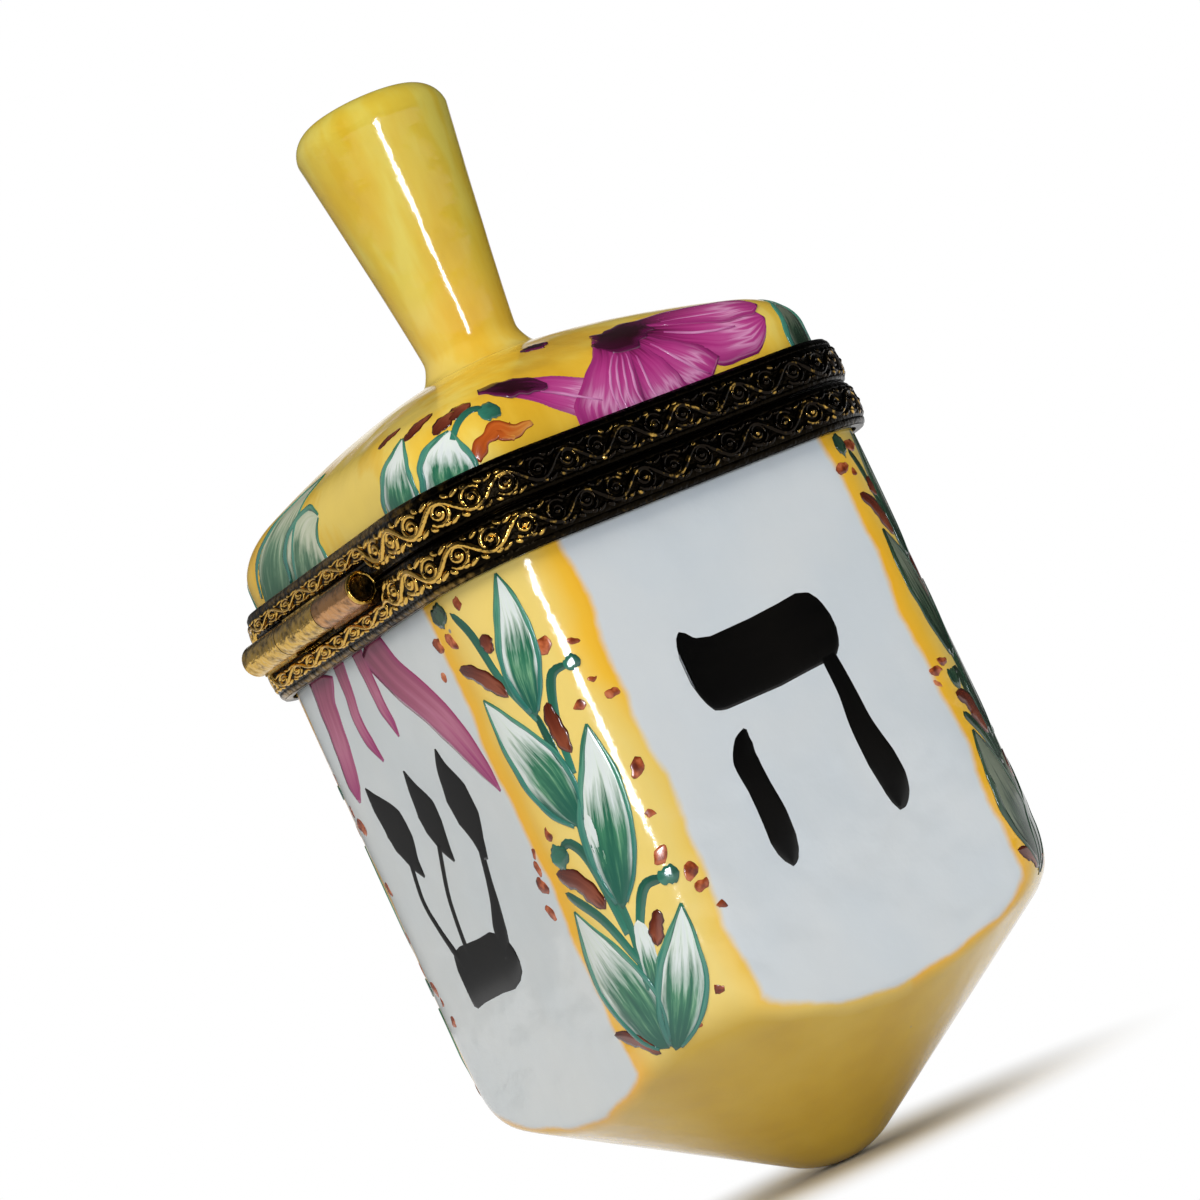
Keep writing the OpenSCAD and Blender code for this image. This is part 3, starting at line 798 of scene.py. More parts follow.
GARLAND_DOTS = [
    (-3.3, 45.3), (-7.4, 43.5), (-5.6, 43.3), (-8.4, 41.5), (1.2, 40.3), (3.1, 39.7), (3.2, 37.0),
    (4.1, 35.6), (1.7, 35.7), (-4.7, 28.9), (-7.4, 28.2), (-7.7, 27.2), (-8.2, 26.1), (-8.6, 24.2),
    (2.4, 24.6), (3.8, 22.9), (4.1, 21.7), (4.8, 20.0), (2.2, 15.1), (-0.3, 13.5), (3.4, 30.4), (2.9, 27.4),
]
# painted shade: a broad dark olive strip along the shaded corner, laid under its garland
PAINTED_SHADE_STRIP = [(-1.2, 12.8), (-1.0, 22.0), (0.2, 31.0), (-0.6, 39.0), (-0.8, 46.6)]
# the corner that is given painted shade, and the one that keeps to the layout
SHADED, EXACT = 0, -1

# %% Paint the four corners
rng = np.random.default_rng(7)
base_leaves, base_lines, base_stems, base_brown, shaded_leaves, shaded_lines = (new_paint() for _ in range(6))
dot_places = []
for k, squeeze in ((-2, 0.75), (-1, 1.0), (0, 0.56), (1, 0.75)):
    def there(c, z, shake=0.0):
        """A place of the layout on this corner, moved a little by the hand."""
        c = c * (squeeze if c < 0 else 1.0) + (0 if k == EXACT else rng.normal(0, shake))
        return on_body((k + 0.5) * side + c, z + (0 if k == EXACT else rng.normal(0, shake)))

    leaves, lines, stems = base_leaves, base_lines, base_stems
    # painted shade on this corner: its leaves, outlines and stems take the darker olive enamels, over the
    # dark strip
    if k == SHADED:
        leaves, lines, stems = shaded_leaves, shaded_lines, shaded_lines
        even_brush(leaves, body_ground, [there(*p) for p in PAINTED_SHADE_STRIP], dab_width(1.5),
                   lift=0.02, count=60, ragged=0.3)
    for path, width in GARLAND_STEMS:
        even_brush(stems, body_ground, [there(*p, 0.1) for p in path], taper_width(width))
    for path, width in GARLAND_PALE:
        even_brush(leaves, body_ground, [there(*p) for p in path], dab_width(width),
                   layer=1, lift=0.03, count=24, ragged=0.1)
    for path, left, right in GARLAND_LEAVES:
        edges = brush(leaves, body_ground, [there(*p, 0.15) for p in path], leaf_width(left * squeeze),
                      leaf_width(right * (0.5 + squeeze / 2)),
                      layer=1, lift=0.035, count=30, across=10, ragged=0.05)
        outline(body_ground, edges, lines, 1, (0.25, 0.17))
    # the top bulb of every corner, just under the band, takes the darker olive enamel of the painted shade
    for number, (c, z, r) in enumerate(GARLAND_BULBS):
        spread = [there(c - r, z), there(c, z + 0.1), there(c + r, z)]
        dab(stems if number else shaded_lines, body_ground, spread, r * 0.85, 3)
    for path, width in GARLAND_BROWN:
        dab(base_brown, body_ground, [there(*p, 0.15) for p in path], width, 2)
    dot_places += [there(c, z, 0.2) for c, z in GARLAND_DOTS if k != SHADED or c > -8]
for name, paint, material in (
        ("garland_leaves", base_leaves, leaf_enamel),
        ("garland_painted_shade_leaves", shaded_leaves, olive_shade_enamel),
        ("garland_painted_shade_lines", shaded_lines, olive_shade_line_enamel), ("garland_outlines", base_lines, line_enamel),
        ("garland_stems", base_stems, stem_enamel), ("garland_brown_strokes", base_brown, dark_brown_enamel)):
    paint_piece(name, paint, "base", material)

# %% [markdown]
# ## Dots down the edges
# The dots are touches of the brush tip: many, alike, and never quite the same. Geometry Nodes suit that.
# The places are the vertices of a small mesh, each with the direction that its surface faces, and a tree
# puts a flat dab on every one, turned and sized by a seeded chance.


# %% How a tree begins and ends
def new_tree(name, source, whole, sizes, result):
    """An empty Geometry Nodes tree with named inputs: a mesh, a whole number, sizes in metres, a material."""
    tree = bpy.data.node_groups.new(name, "GeometryNodeTree")
    rows = [(source, "Geometry", None), (whole[0], "Int", whole[1])]
    rows += [(key, "Float", value) for key, value in sizes.items()] + [("Material", "Material", None)]
    for key, kind, value in rows:
        socket = tree.interface.new_socket(key, in_out="INPUT", socket_type="NodeSocket" + kind)
        if value is not None:
            socket.default_value = value
    tree.interface.new_socket(result, in_out="OUTPUT", socket_type="NodeSocketGeometry")
    return tree, add(tree, "NodeGroupInput").outputs


def end_tree(tree, shape, material):
    """Shades the shape smooth, gives it its material and lets it out."""
    smooth = add(tree, "GeometryNodeSetShadeSmooth", (shape,))
    coloured = add(tree, "GeometryNodeSetMaterial", {"Geometry": smooth, "Material": material})
    add(tree, "NodeGroupOutput", (coloured,))
    print(tree.name, "has", len(tree.nodes), "nodes")


# %% A tree that sets dabs on points
dots_tree, given = new_tree("dabs_on_points", "Places", ("Seed", 3), {
    "Length": 0.00125, "Width": 0.0008, "Height": 0.00006}, "Dabs")
dots = partial(add, dots_tree)
ball = dots("GeometryNodeMeshUVSphere", {"Segments": 14, "Rings": 8, "Radius": 0.5})
form = dots("CombineXYZ", (given["Width"], given["Length"], given["Height"]))
lens = dots("GeometryNodeTransform", {"Geometry": ball, "Scale": form})
facing = dots("GeometryNodeInputNamedAttribute", {"Name": "facing"}, data_type="FLOAT_VECTOR")
upright = dots("FunctionNodeAlignRotationToVector", {"Vector": facing}, axis="Z")
turn, growth = (
    dots("FunctionNodeRandomValue", {"Min": low, "Max": high, "Seed": given["Seed"]}, data_type="FLOAT")
    for low, high in ((-0.7, 0.7), (0.6, 1.25)))
twisted = dots("FunctionNodeRotateRotation", (upright, dots("CombineXYZ", (0.0, 0.0, turn))),
               rotation_space="LOCAL")
placed = dots("GeometryNodeInstanceOnPoints", {
    "Points": given["Places"], "Instance": lens, "Rotation": twisted, "Scale": growth})
real = dots("GeometryNodeRealizeInstances", (placed,))
patchy = dots("TexNoise", {"Scale": 1500.0, "Detail": 1.0}).outputs["Color"]        # uneven edges, 0.7 mm
patchy = dots("VectorMath", (patchy, (0.5, 0.5, 0.5)), operation="SUBTRACT")
patchy = dots("VectorMath", {0: patchy, "Scale": 0.0007}, operation="SCALE")
rise = dots("VectorMath", (patchy, facing), operation="PROJECT")
slide = dots("VectorMath", (patchy, rise), operation="SUBTRACT")
uneven = dots("GeometryNodeSetPosition", {"Geometry": real, "Offset": slide})
end_tree(dots_tree, uneven, given["Material"])


def grown(name, mesh, tree, values, body_name):
    """Runs a tree on a mesh and keeps the result as a plain mesh piece that rides on a body."""
    seedling = put(name + "_seedling", mesh)
    modifier = seedling.modifiers.new("grow", "NODES")
    modifier.node_group = tree
    for socket in tree.interface.items_tree:
        if socket.in_out == "INPUT" and socket.name in values:
            modifier[socket.identifier] = values[socket.name]
    result = bpy.data.meshes.new_from_object(seedling.evaluated_get(bpy.context.evaluated_depsgraph_get()))
    seedling.modifiers.remove(modifier)
    bpy.data.objects.remove(seedling)
    new_piece(name, result, body_name)


# %% Dots of the body
# iron red: wet drops in which the colour pooled, dark in some places and thin in others
dot_enamel, tree, shader = new_material("iron_red_dot_enamel")
place = add(tree, "TexCoord").outputs["Object"]
pool = add(tree, "TexNoise", {"Vector": place, "Scale": 1500.0, "Detail": 2.0})     # pooled colour, 0.7 mm
colour = add(tree, "ValToRGB", (pool,), [
    (0.3, "#5E2210"), (0.45, "#8A3E1E"), (0.58, "#B4603A"), (0.75, "#C98058")])
fill(tree, shader, {"Base Color": colour, "Roughness": 0.15, "IOR": 1.52})
found = [body_ground.find_nearest(Vector(p)) for p in dot_places]
dot_points = bpy.data.meshes.new("dots")
dot_points.from_pydata([tuple(f[0] * MM) for f in found], [], [])
dot_points.attributes.new("facing", "FLOAT_VECTOR", "POINT").data.foreach_set(
    "vector", np.array([tuple(f[1]) for f in found], np.float32).ravel())
grown("garland_dots", dot_points, dots_tree, {"Material": dot_enamel}, "base")

# %% [markdown]
# ## Marks on the four sides
# Every dreidel carries four game marks, one on each side, as a die carries its numbers. They are drawn here
# as plain block forms of this lesson's own: a few thick strokes of black enamel each.

# %% Block strokes
marks = new_paint()


def stroke_on(number):
    """Places on one of the four sides: millimetres right of its middle, and height."""
    return lambda u, z: on_body(number * side + u, z)


def block(number, *rows):
    """One thick stroke on a side from rows of (right of the middle, height, half width)."""
    rows_brush(marks, body_ground, stroke_on(number), rows, lift=0.03, count=48, across=12)


def slab(number, level, *rows):
    """A broad level stroke from rows of (right of the middle, upper edge, lower edge)."""
    along, upper, lower = np.array(rows, float).T
    share = (along - along[0]) / (along[-1] - along[0])
    above = lambda k: float(np.interp(k, share, upper - level))
    below = lambda k: float(np.interp(k, share, level - lower))
    path = [stroke_on(number)(u, level) for u in along]
    brush(marks, body_ground, path, above, below, lift=0.03, count=60, across=14)


# the mark of the side at -X: a bar with a raised left end, a long leg under its right end, a short free leg
slab(0, 34.3, (-6.5, 36.0, 34.0), (-6.2, 37.3, 32.6), (-5.7, 37.9, 31.6), (-5.2, 37.6, 31.4),
     (-4.7, 37.0, 31.3), (-3.5, 36.7, 31.3), (0, 36.8, 31.3), (2.5, 37.0, 31.5), (4.2, 37.2, 31.6),
     (5.2, 36.9, 31.8), (5.8, 36.1, 32.5), (6.1, 34.8, 33.6))
block(0, (4.5, 32.2, 0.7), (4.65, 29.5, 0.8), (4.6, 27.0, 1.05), (4.9, 24.4, 1.35), (5.05, 22.9, 1.3),
      (4.95, 21.9, 1.1), (4.75, 21.2, 0.75), (4.6, 20.85, 0.4), (4.5, 20.7, 0.05))
block(0, (-4.1, 29.9, 0.15), (-4.6, 29.2, 0.75), (-5.1, 27.9, 1.12), (-5.0, 26.0, 1.05), (-4.9, 24.0, 1.18),
      (-5.0, 22.2, 1.18), (-5.05, 21.3, 0.95), (-5.1, 20.7, 0.6), (-5.15, 20.45, 0.3), (-5.2, 20.3, 0.05))
# the mark of the side at +Y: three arms with swollen heads that stand on one base
block(-1, (-9.0, 37.8, 0.12), (-8.4, 36.4, 1.0), (-7.4, 34.6, 1.9), (-7.1, 33.0, 1.75),
      (-6.9, 31.6, 0.9), (-6.4, 30.3, 0.15))
block(-1, (-2.8, 37.5, 0.12), (-2.6, 36.0, 0.85), (-2.2, 34.4, 1.65), (-2.1, 33.0, 1.5),
      (-1.9, 31.6, 0.9), (-1.5, 30.3, 0.15))
block(-1, (2.6, 37.7, 0.12), (2.4, 36.2, 0.95), (2.65, 34.4, 1.85), (2.85, 32.4, 1.75),
      (2.8, 30.8, 0.85), (2.6, 29.4, 0.4))
block(-1, (-7.4, 31.8, 0.3), (-8.1, 28.9, 0.3), (-7.7, 26.7, 0.32), (-6.9, 24.4, 0.42), (-6.4, 22.7, 0.35))
block(-1, (-2.6, 31.8, 0.3), (-4.2, 28.8, 0.3), (-4.8, 26.8, 0.3), (-5.2, 24.4, 0.32), (-5.3, 22.7, 0.3))
block(-1, (2.6, 30.2, 0.4), (1.8, 28.0, 0.45), (1.2, 26.4, 0.65), (0.4, 24.8, 0.95),
      (-0.1, 23.6, 0.85), (-0.6, 22.7, 0.6))
slab(-1, 22.7, (-7.7, 23.6, 20.5), (-7.3, 24.8, 20.2), (-6.0, 25.1, 20.4), (-3.0, 25.0, 20.5),
     (-1.2, 25.1, 20.4), (0.0, 24.6, 20.8), (0.8, 23.8, 21.4), (1.05, 23.0, 22.2))
# the mark of the side at -Y: a head, a bent back and a foot
block(1, (-3.2, 37.8, 0.2), (-2.4, 36.4, 1.3), (-0.4, 35.4, 1.9), (1.8, 34.2, 1.8), (2.5, 31.2, 1.1),
      (2.4, 28.0, 0.9), (2.7, 24.4, 1.1), (3.6, 20.6, 0.5))
block(1, (2.3, 26.6, 0.5), (0.2, 25.0, 0.8), (-2.0, 23.0, 1.4), (-3.0, 20.8, 0.9), (-3.1, 20.2, 0.2))
# the mark of the side at +X: a head, an upright and a base
block(2, (-2.8, 37.8, 0.2), (-2.0, 36.4, 1.3), (0.2, 35.4, 1.9), (2.2, 34.0, 1.7), (2.7, 31.0, 1.0),
      (2.6, 27.0, 1.0), (2.5, 23.4, 1.1), (2.4, 21.9, 0.9))
slab(2, 21.8, (-3.6, 22.6, 20.6), (-3.0, 23.0, 20.4), (0.0, 22.9, 20.5), (2.6, 23.4, 20.6),
     (3.6, 23.0, 21.0), (3.9, 22.2, 21.4))
paint_piece("side_marks", marks, "base", black_enamel)

# %% [markdown]
# ## Petals under the rim
# Four mauve petals hang from the rim on the hinge side, as if a flower on the lid reached down over the
# edge.

# %% Hanging petals
hanging = new_paint()
for rows in (
        [(-8.2, 46.5, 1.9), (-9.0, 44.4, 1.35), (-9.5, 42.0, 1.2), (-9.9, 40.0, 1.1),
         (-10.4, 38.2, 0.85), (-10.6, 37.1, 0.15)],
        [(-5.0, 46.5, 0.85), (-5.4, 44.0, 0.68), (-5.8, 42.2, 0.66), (-5.5, 40.4, 0.6), (-4.8, 38.8, 0.15)],
        [(-1.8, 46.5, 0.85), (-1.8, 44.0, 0.72), (-1.7, 42.0, 0.64), (-1.4, 40.8, 0.5), (-1.3, 39.7, 0.12)],
        [(0.0, 46.5, 1.9), (1.5, 43.7, 1.6), (3.4, 41.4, 1.6), (5.4, 39.0, 1.6), (6.7, 36.8, 1.3),
         (7.8, 34.6, 0.75), (8.4, 33.0, 0.12)]):
    rows_brush(hanging, body_ground, stroke_on(-1), rows,
               layer=1, lift=0.03, count=36, across=10, ragged=0.06)
paint_piece("hanging_petals", hanging, "base", mauve_enamel)

# %% [markdown]
# ## Flowers and leaves on the lid
# The lid has a loose bunch of magenta flowers round the stem and leaves that climb from the rim at the
# corners. Places are given by direction from the middle of the lid: degrees round it and degrees up. The
# side away from the camera carries the same kinds of strokes in an arrangement of their own.

# %% Petals of the lid
lid_petals, lid_hearts, lid_veins = (new_paint() for _ in range(3))
on_top = partial(rows_brush, ground=lid_ground, place=on_lid)


def petals(*strokes):
    """Petals from rows of (degrees round, degrees up, half width); later ones lie over earlier ones."""
    for layer, rows in enumerate(strokes):
        on_top(lid_petals, rows=rows, layer=layer, lift=0.03, count=36, across=14, ragged=0.05)


petals([(145.5, 21.5, 0.35), (152, 20.2, 1.1), (159.5, 17.2, 1.6), (166, 13.8, 1.7), (171, 11.5, 1.5)],
       [(188, 27, 0.9), (196, 21, 2.3), (203, 17.2, 2.8), (209, 15, 2.3), (213, 14.6, 0.9),
        (214, 14.4, 0.15)],
       [(184, 26, 0.9), (187, 18.5, 1.6), (192, 12.5, 2.2), (196.5, 7.5, 2.2)],
       [(182, 25, 0.9), (183, 17, 1.4), (184.6, 11, 1.9), (186, 5.5, 1.9)],
       [(182, 28, 0.9), (177.3, 20.5, 1.4), (173.4, 14.5, 2.2), (170.8, 9.5, 2.9), (169.5, 5.2, 2.7)],
       [(192, 30, 0.7), (200, 26, 1.5), (208, 21.5, 1.6), (214, 18.5, 1.2), (216, 17.5, 0.15)])
petals([(355, 28, 0.9), (348, 21, 1.8), (342, 14, 2.6), (338, 8, 2.3), (336, 6, 0.2)],
       [(356, 27, 0.9), (358, 19, 1.8), (0, 12, 2.6), (1, 6, 2.4)],
       [(357, 28, 0.9), (4, 23, 1.9), (12, 18, 2.4), (18, 14, 1.6), (20, 13, 0.2)],
       [(354, 30, 0.9), (345, 28, 1.6), (334, 24, 1.8), (327, 21, 0.2)])
petals([(264, 30, 0.6), (258, 23, 1.5), (254, 16, 2.0), (251, 9, 1.8), (250, 7, 0.2)],
       [(266, 30, 0.6), (270, 23, 1.5), (275, 16, 2.0), (280, 10, 1.8), (282, 8, 0.2)])
for rows in ([(176.2, 25.4, 0.5), (180.5, 25.2, 1.5), (186, 26.8, 2.0), (192, 29, 1.5), (197, 29.5, 0.2)],
             [(145.5, 21.5, 0.3), (150, 20.7, 1.0), (155, 19.6, 0.9), (159, 18.4, 0.2)],
             [(163, 38.8, 0.3), (167.5, 39.8, 0.85), (172.5, 40.4, 0.3)],
             [(351, 28.5, 0.4), (356, 28.5, 1.6), (361, 28, 0.4)]):
    on_top(lid_hearts, rows=rows, layer=6, lift=0.02, count=26, across=10, ragged=0.25)
for path in (
        [(178, 21.4), (174.6, 18), (172.2, 13.4), (172.2, 7.4)],
        [(178.6, 20.6), (175.6, 16.8), (173.9, 12), (174.4, 6.8)],
        [(179.6, 20.4), (177.2, 16), (175.8, 11.4), (176.8, 6.6)],
        [(180.8, 20.4), (179, 15.6), (178, 11), (179.4, 6.4)],
        [(182.6, 19), (181.8, 14.6), (182, 10.4), (183.6, 6.4)],
        [(188, 20.4), (190.6, 16), (193.6, 12.4), (197, 9.4)],
        [(193.6, 21.8), (198, 19), (202.6, 17), (207.5, 15.6)],
        [(197, 25), (202, 22.6), (207, 20.2), (212, 18)],
        [(157, 17.4), (161, 15.8), (165, 14), (169, 12.2)], [(357, 25), (352, 19), (348, 13), (345, 9)],
        [(357, 24), (358.6, 18), (359.4, 12), (360.6, 7.6)],
        [(359, 26), (365, 21.6), (370, 18), (374.6, 15.6)]):
    even_brush(lid_veins, lid_ground, [on_lid(*p) for p in path], line_width(0.085),
               layer=6, lift=0.015, count=30, across=4, ragged=0.3)
for name, paint, material in (
        ("lid_petals", lid_petals, petal_enamel), ("lid_petal_lines", lid_veins, vein_enamel),
        ("lid_flower_hearts", lid_hearts, heart_enamel)):
    paint_piece(name, paint, "lid", material)

# %% Leaves, tendrils and dabs of the lid
lid_leaves, grey_leaves, shaded_lid_leaves, lid_lines, lid_stems, lid_brown, lid_orange = (
    new_paint() for _ in range(7))
for leaves, layer, rows in (
        (lid_leaves, 0, [(124, 3.5, 1.7), (124.2, 8, 1.95), (126, 12.5, 1.35), (128, 15.6, 0.6),
                         (129.2, 18.4, 0.08)]),
        (lid_leaves, 1, [(135, 3.5, 2.1), (135.2, 7, 2.1), (136.4, 10.8, 1.75), (137.6, 13.2, 0.9),
                         (138.6, 14.8, 0.1)]),
        (grey_leaves, 0, [(62, 5, 2.3), (66, 12, 2.8), (72, 20, 2.4), (79, 27, 1.3), (83.5, 31, 0.1)]),
        (grey_leaves, 1, [(76, 4, 2.4), (79.5, 9, 2.9), (83, 14, 2.8), (87.5, 17.4, 1.7), (93, 18.0, 0.1)]),
        # painted shade: the two leaves above the shaded corner take the darker olive enamel
        (shaded_lid_leaves, 0, [(222.5, 4, 2.0), (221.5, 9, 1.9), (222, 13.5, 1.3), (224.5, 18.5, 0.1)]),
        (shaded_lid_leaves, 1, [(232, 4, 1.6), (231, 9, 1.6), (229, 13, 1.0), (229, 17, 0.1)]),
        (lid_leaves, 0, [(312, 4, 2.0), (310, 9, 2.0), (308, 14, 1.4), (310, 20, 0.1)]),
        (lid_leaves, 1, [(322, 4, 1.7), (322, 9, 1.7), (324, 13, 1.1), (328, 17, 0.1)]),
        (lid_leaves, 0, [(36, 4, 2.0), (38, 9, 2.0), (38, 15, 1.4), (34, 21, 0.1)]),
        (lid_leaves, 1, [(46, 4, 1.7), (46, 9, 1.7), (44, 14, 1.1), (46, 19, 0.1)])):
    edges = on_top(leaves, rows=rows, layer=layer, lift=0.03, count=32, across=10, ragged=0.04)
    outline(lid_ground, edges, lid_lines, layer, (0.26, 0.18))
for path, (round_it, up), r in (
        ([(138.5, 13), (140.5, 15.8), (143, 17.4), (145.5, 16.9)], (146.2, 15.9), 0.75),
        ([(224, 16), (228, 20), (232, 21), (236, 19)], (237, 18), 0.7),
        ([(40, 16), (34, 22), (28, 22), (25, 19)], (24.5, 18), 0.7),
        ([(310, 16), (304, 20), (299, 19.5), (297, 17)], (296.5, 16), 0.7)):
    even_brush(lid_stems, lid_ground, [on_lid(*p) for p in path], taper_width(0.34), layer=2)
    dab(lid_stems, lid_ground, [on_lid(round_it + d, up) for d in (-2, 0, 2)], r, 3)
for path, w in (
        ([(135.6, 15.4), (138, 17.2), (140.4, 18.6)], 0.62),
        ([(139, 17.0), (141.4, 18.6), (143.6, 19.2)], 0.6),
        ([(129.6, 17.4), (132.5, 19.4), (135.8, 21.2)], 0.55),
        ([(122.4, 20.0), (125, 21.2), (128, 22.2)], 0.45),
        ([(60, 5), (64, 5.6), (68, 5.2)], 0.6), ([(236, 9), (240, 11), (244, 12)], 0.6),
        ([(330, 24), (334, 26), (338, 27)], 0.55), ([(20, 10), (24, 11), (28, 10)], 0.6),
        ([(290, 10), (294, 11.5), (298, 11)], 0.6)):
    dab(lid_brown, lid_ground, [on_lid(*p) for p in path], w, 2)
for path, w in (
        ([(140.6, 8.4), (143.6, 11.0), (146.4, 12.3), (148.0, 10.9), (150.2, 11.2), (152.6, 12.0)], 0.62),
        ([(146.0, 12.0), (147.4, 10.6), (148.6, 10.0)], 0.4), ([(244, 8), (248, 9.4), (252, 9)], 0.7),
        ([(12, 13), (15, 14), (18, 13.4)], 0.6)):
    even_brush(lid_orange, lid_ground, [on_lid(*p) for p in path], line_width(w),
               layer=1, lift=0.03, count=30, ragged=0.4)
for name, paint, material in (
        ("lid_leaves", lid_leaves, leaf_enamel), ("lid_grey_leaves", grey_leaves, grey_leaf_enamel),
        ("lid_painted_shade_leaves", shaded_lid_leaves, olive_shade_enamel), ("lid_outlines", lid_lines, line_enamel),
        ("lid_tendrils", lid_stems, stem_enamel), ("lid_brown_dabs", lid_brown, dark_brown_enamel),
        ("lid_orange_dabs", lid_orange, orange_enamel)):
    paint_piece(name, paint, "lid", material)

# %% [markdown]
# ## The stamped brass bands
# The mount is thin brass strip, stamped with a running vine on a low swelling, dark in the hollows and
# rubbed bright on top. The relief could be a bump map, but it shows in the outline and glints, so it is
# real shape. The swelling is swept round the rim. Geometry Nodes then draw one flat length of vine, with
# curls, buds and dots by rule, and bend it round.


# %% Brass: dark in the hollows, rubbed gold on what stands out, with painted light towards the hinge
def brass(name, dark, gold, wear, rough, dent, speckle=1.2, wear_and_light_by=None):
    """Antique gilt brass; wear is the share rubbed bright, and wear_and_light_by makes, in a tree, what adds
    to it: more wear, painted light, or both.
    """
    material, tree, shader = new_material(name)
    place = add(tree, "TexCoord").outputs["Object"]
    grime = add(tree, "TexNoise", {"Vector": place, "Scale": 1700.0, "Detail": 3.0})   # grime patches, 0.6 mm
    cloud = add(tree, "TexNoise", {"Vector": place, "Scale": 160.0, "Detail": 2.0})    # handling wear, 6 mm
    dents = add(tree, "TexNoise", {"Vector": place, "Scale": 2200.0, "Detail": 2.0})   # tool marks, 0.45 mm
    rubbed_and_lit = add(tree, "Math", (wear_and_light_by(tree, place), wear), operation="ADD") if wear_and_light_by else wear
    uneven = add(tree, "Math", (grime, speckle, rubbed_and_lit), operation="MULTIPLY_ADD")
    uneven = add(tree, "Math", (cloud, 0.8, uneven), operation="MULTIPLY_ADD")
    share = add(tree, "MapRange", (uneven, 1.05, 1.75), interpolation_type="SMOOTHSTEP")
    colour = add(tree, "Mix", {"Factor": share, "A": dark, "B": gold}, data_type="RGBA")
    gloss = add(tree, "MapRange", (share, 0.0, 1.0, rough[1], rough[0]))
    bump = add(tree, "Bump", {"Height": dents, "Strength": dent, "Distance": 0.00015})
    fill(tree, shader, {"Base Color": colour, "Roughness": gloss, "Normal": bump, "Metallic": 1.0})
    return material


def by_height(low, high):
    """Wear that follows the crest attribute of the relief, in metres."""
    return lambda tree, place: add(tree, "MapRange", (
        add(tree, "Attribute", attribute_name="crest").outputs["Fac"], low, high))


def lit_towards_hinge(amount, start, end):
    """Painted light: a gold share that grows with y towards the hinge side and the front corner, where the
    metal catches the light, so that the side away from them stays dark.
    """
    return lambda tree, place: add(tree, "MapRange", (
        add(tree, "SeparateXYZ", (place,)).outputs["Y"], start, end, 0.0, amount))


def at_edges(amount):
    """Rubbed wear and a painted highlight along the two outer edges of the mount, 2.7 mm or more from the
    parting line at 49.4 mm.
    """
    return lambda tree, place: add(tree, "MapRange", (
        from_line(tree, add(tree, "SeparateXYZ", (place,)).outputs["Z"], 0.0494),
        0.0027, 0.0030, 0.0, amount))


def added_masks(a, b):
    """Two of the masks above, added together."""
    return lambda tree, place: add(tree, "Math", (a(tree, place), b(tree, place)), operation="ADD")


# brass strip that fingers hardly reach: nearly black, gold along its edges, which are rubbed and given a
# painted highlight, and painted light towards the hinge side
band_brass = brass("patinated_brass_strip", "#120E08", "#9A7A40", -0.42, (0.22, 0.34), 0.8,
                   wear_and_light_by=added_masks(lit_towards_hinge(0.42, 0.0145, 0.0186), at_edges(0.35)))
# stamped relief: rubbed crests of gold, under a thin clear lacquer that gives small white glints; painted
# light turns more of it gold towards the hinge side and the front corner
relief_brass = brass("rubbed_brass_relief", "#17110A", "#D0A650", -1.66, (0.09, 0.10), 0.6, speckle=2.6,
                     wear_and_light_by=added_masks(by_height(0.0, 0.0002), lit_towards_hinge(0.95, 0.0110, 0.0185)))
retouch(relief_brass, {"Coat Weight": 0.1, "Coat Roughness": 0.08})
print("brass of the bands:", band_brass.name, "and", relief_brass.name)

# %% The low swelling under the relief
BASE_EDGE, LID_EDGE = 49.4, 49.55                 # where the two bands meet
# the bands leave room for the barrel along this stretch of the side beyond HINGE_SIDE, where a share of their
# height is left, HINGE_ROOM
HINGE_MIDDLE, HINGE_HALF, HINGE_FADE = 3.0, 9.6, 0.8
HINGE_SIDE, HINGE_ROOM = 18.0, 0.52
# how far the swelling stands out, and the distance from the edge where the bands meet
SWELLING = [(0.84, 0.10), (1.00, 0.13), (1.08, 0.30), (1.15, 0.65), (1.185, 1.10), (1.19, 1.45), (1.18, 1.90),
            (1.155, 2.40), (1.125, 2.68), (1.00, 2.74), (0.84, 2.76)]


def closed_sweep(name, points, count, around, material, body_name):
    """A piece from a closed section carried round a closed path, as count loops of around points in mm."""
    mesh = smooth_mesh(name, points, ring_quads(count, around, closed=True))
    face_outward(mesh)
    mesh.materials.append(material)
    new_piece(name, mesh, body_name)


def band_swelling(name, edge, sign, body_name):
    """Sweeps the section round the rim, pressed together where the hinge needs room."""
    points = np.vstack([ring(square(-d), edge + sign * t) for d, t in SWELLING])
    clear = np.clip((np.abs(points[:, 0] - HINGE_MIDDLE) - HINGE_HALF) / HINGE_FADE, 0, 1)
    press = np.where(points[:, 1] > HINGE_SIDE, clear * (1 - HINGE_ROOM) + HINGE_ROOM, 1.0)
    far = edge + sign * SWELLING[-1][1]
    points[:, 2] = far + (points[:, 2] - far) * press
    closed_sweep(name, points, len(SWELLING), len(columns), band_brass, body_name)


band_swelling("base_band_swelling", BASE_EDGE, -1, "base")
band_swelling("lid_band_swelling", LID_EDGE, 1, "lid")

# %% A tree that bends a vine round the rim: sizes of the flat vine
vine_tree, given = new_tree("stamped_vine", "Rim", ("Waves", 28), {
    "Swing": 0.00072, "Wire": 0.00024, "Dot": 0.00028, "Level": 0.0, "Far Edge": 0.0}, "Relief")
vine = partial(add, vine_tree)
rim_line = vine("GeometryNodeMeshToCurve", (given["Rim"],))
length = vine("GeometryNodeCurveLength", (rim_line,))
wave = vine("Math", (length, given["Waves"]), operation="DIVIDE")
halves = vine("Math", (given["Waves"], 2.0), operation="MULTIPLY")
steps = vine("Math", (given["Waves"], 22.0, 1.0), operation="MULTIPLY_ADD")
along, across, height = vine("SeparateXYZ", (vine("GeometryNodeInputPosition"),)).outputs

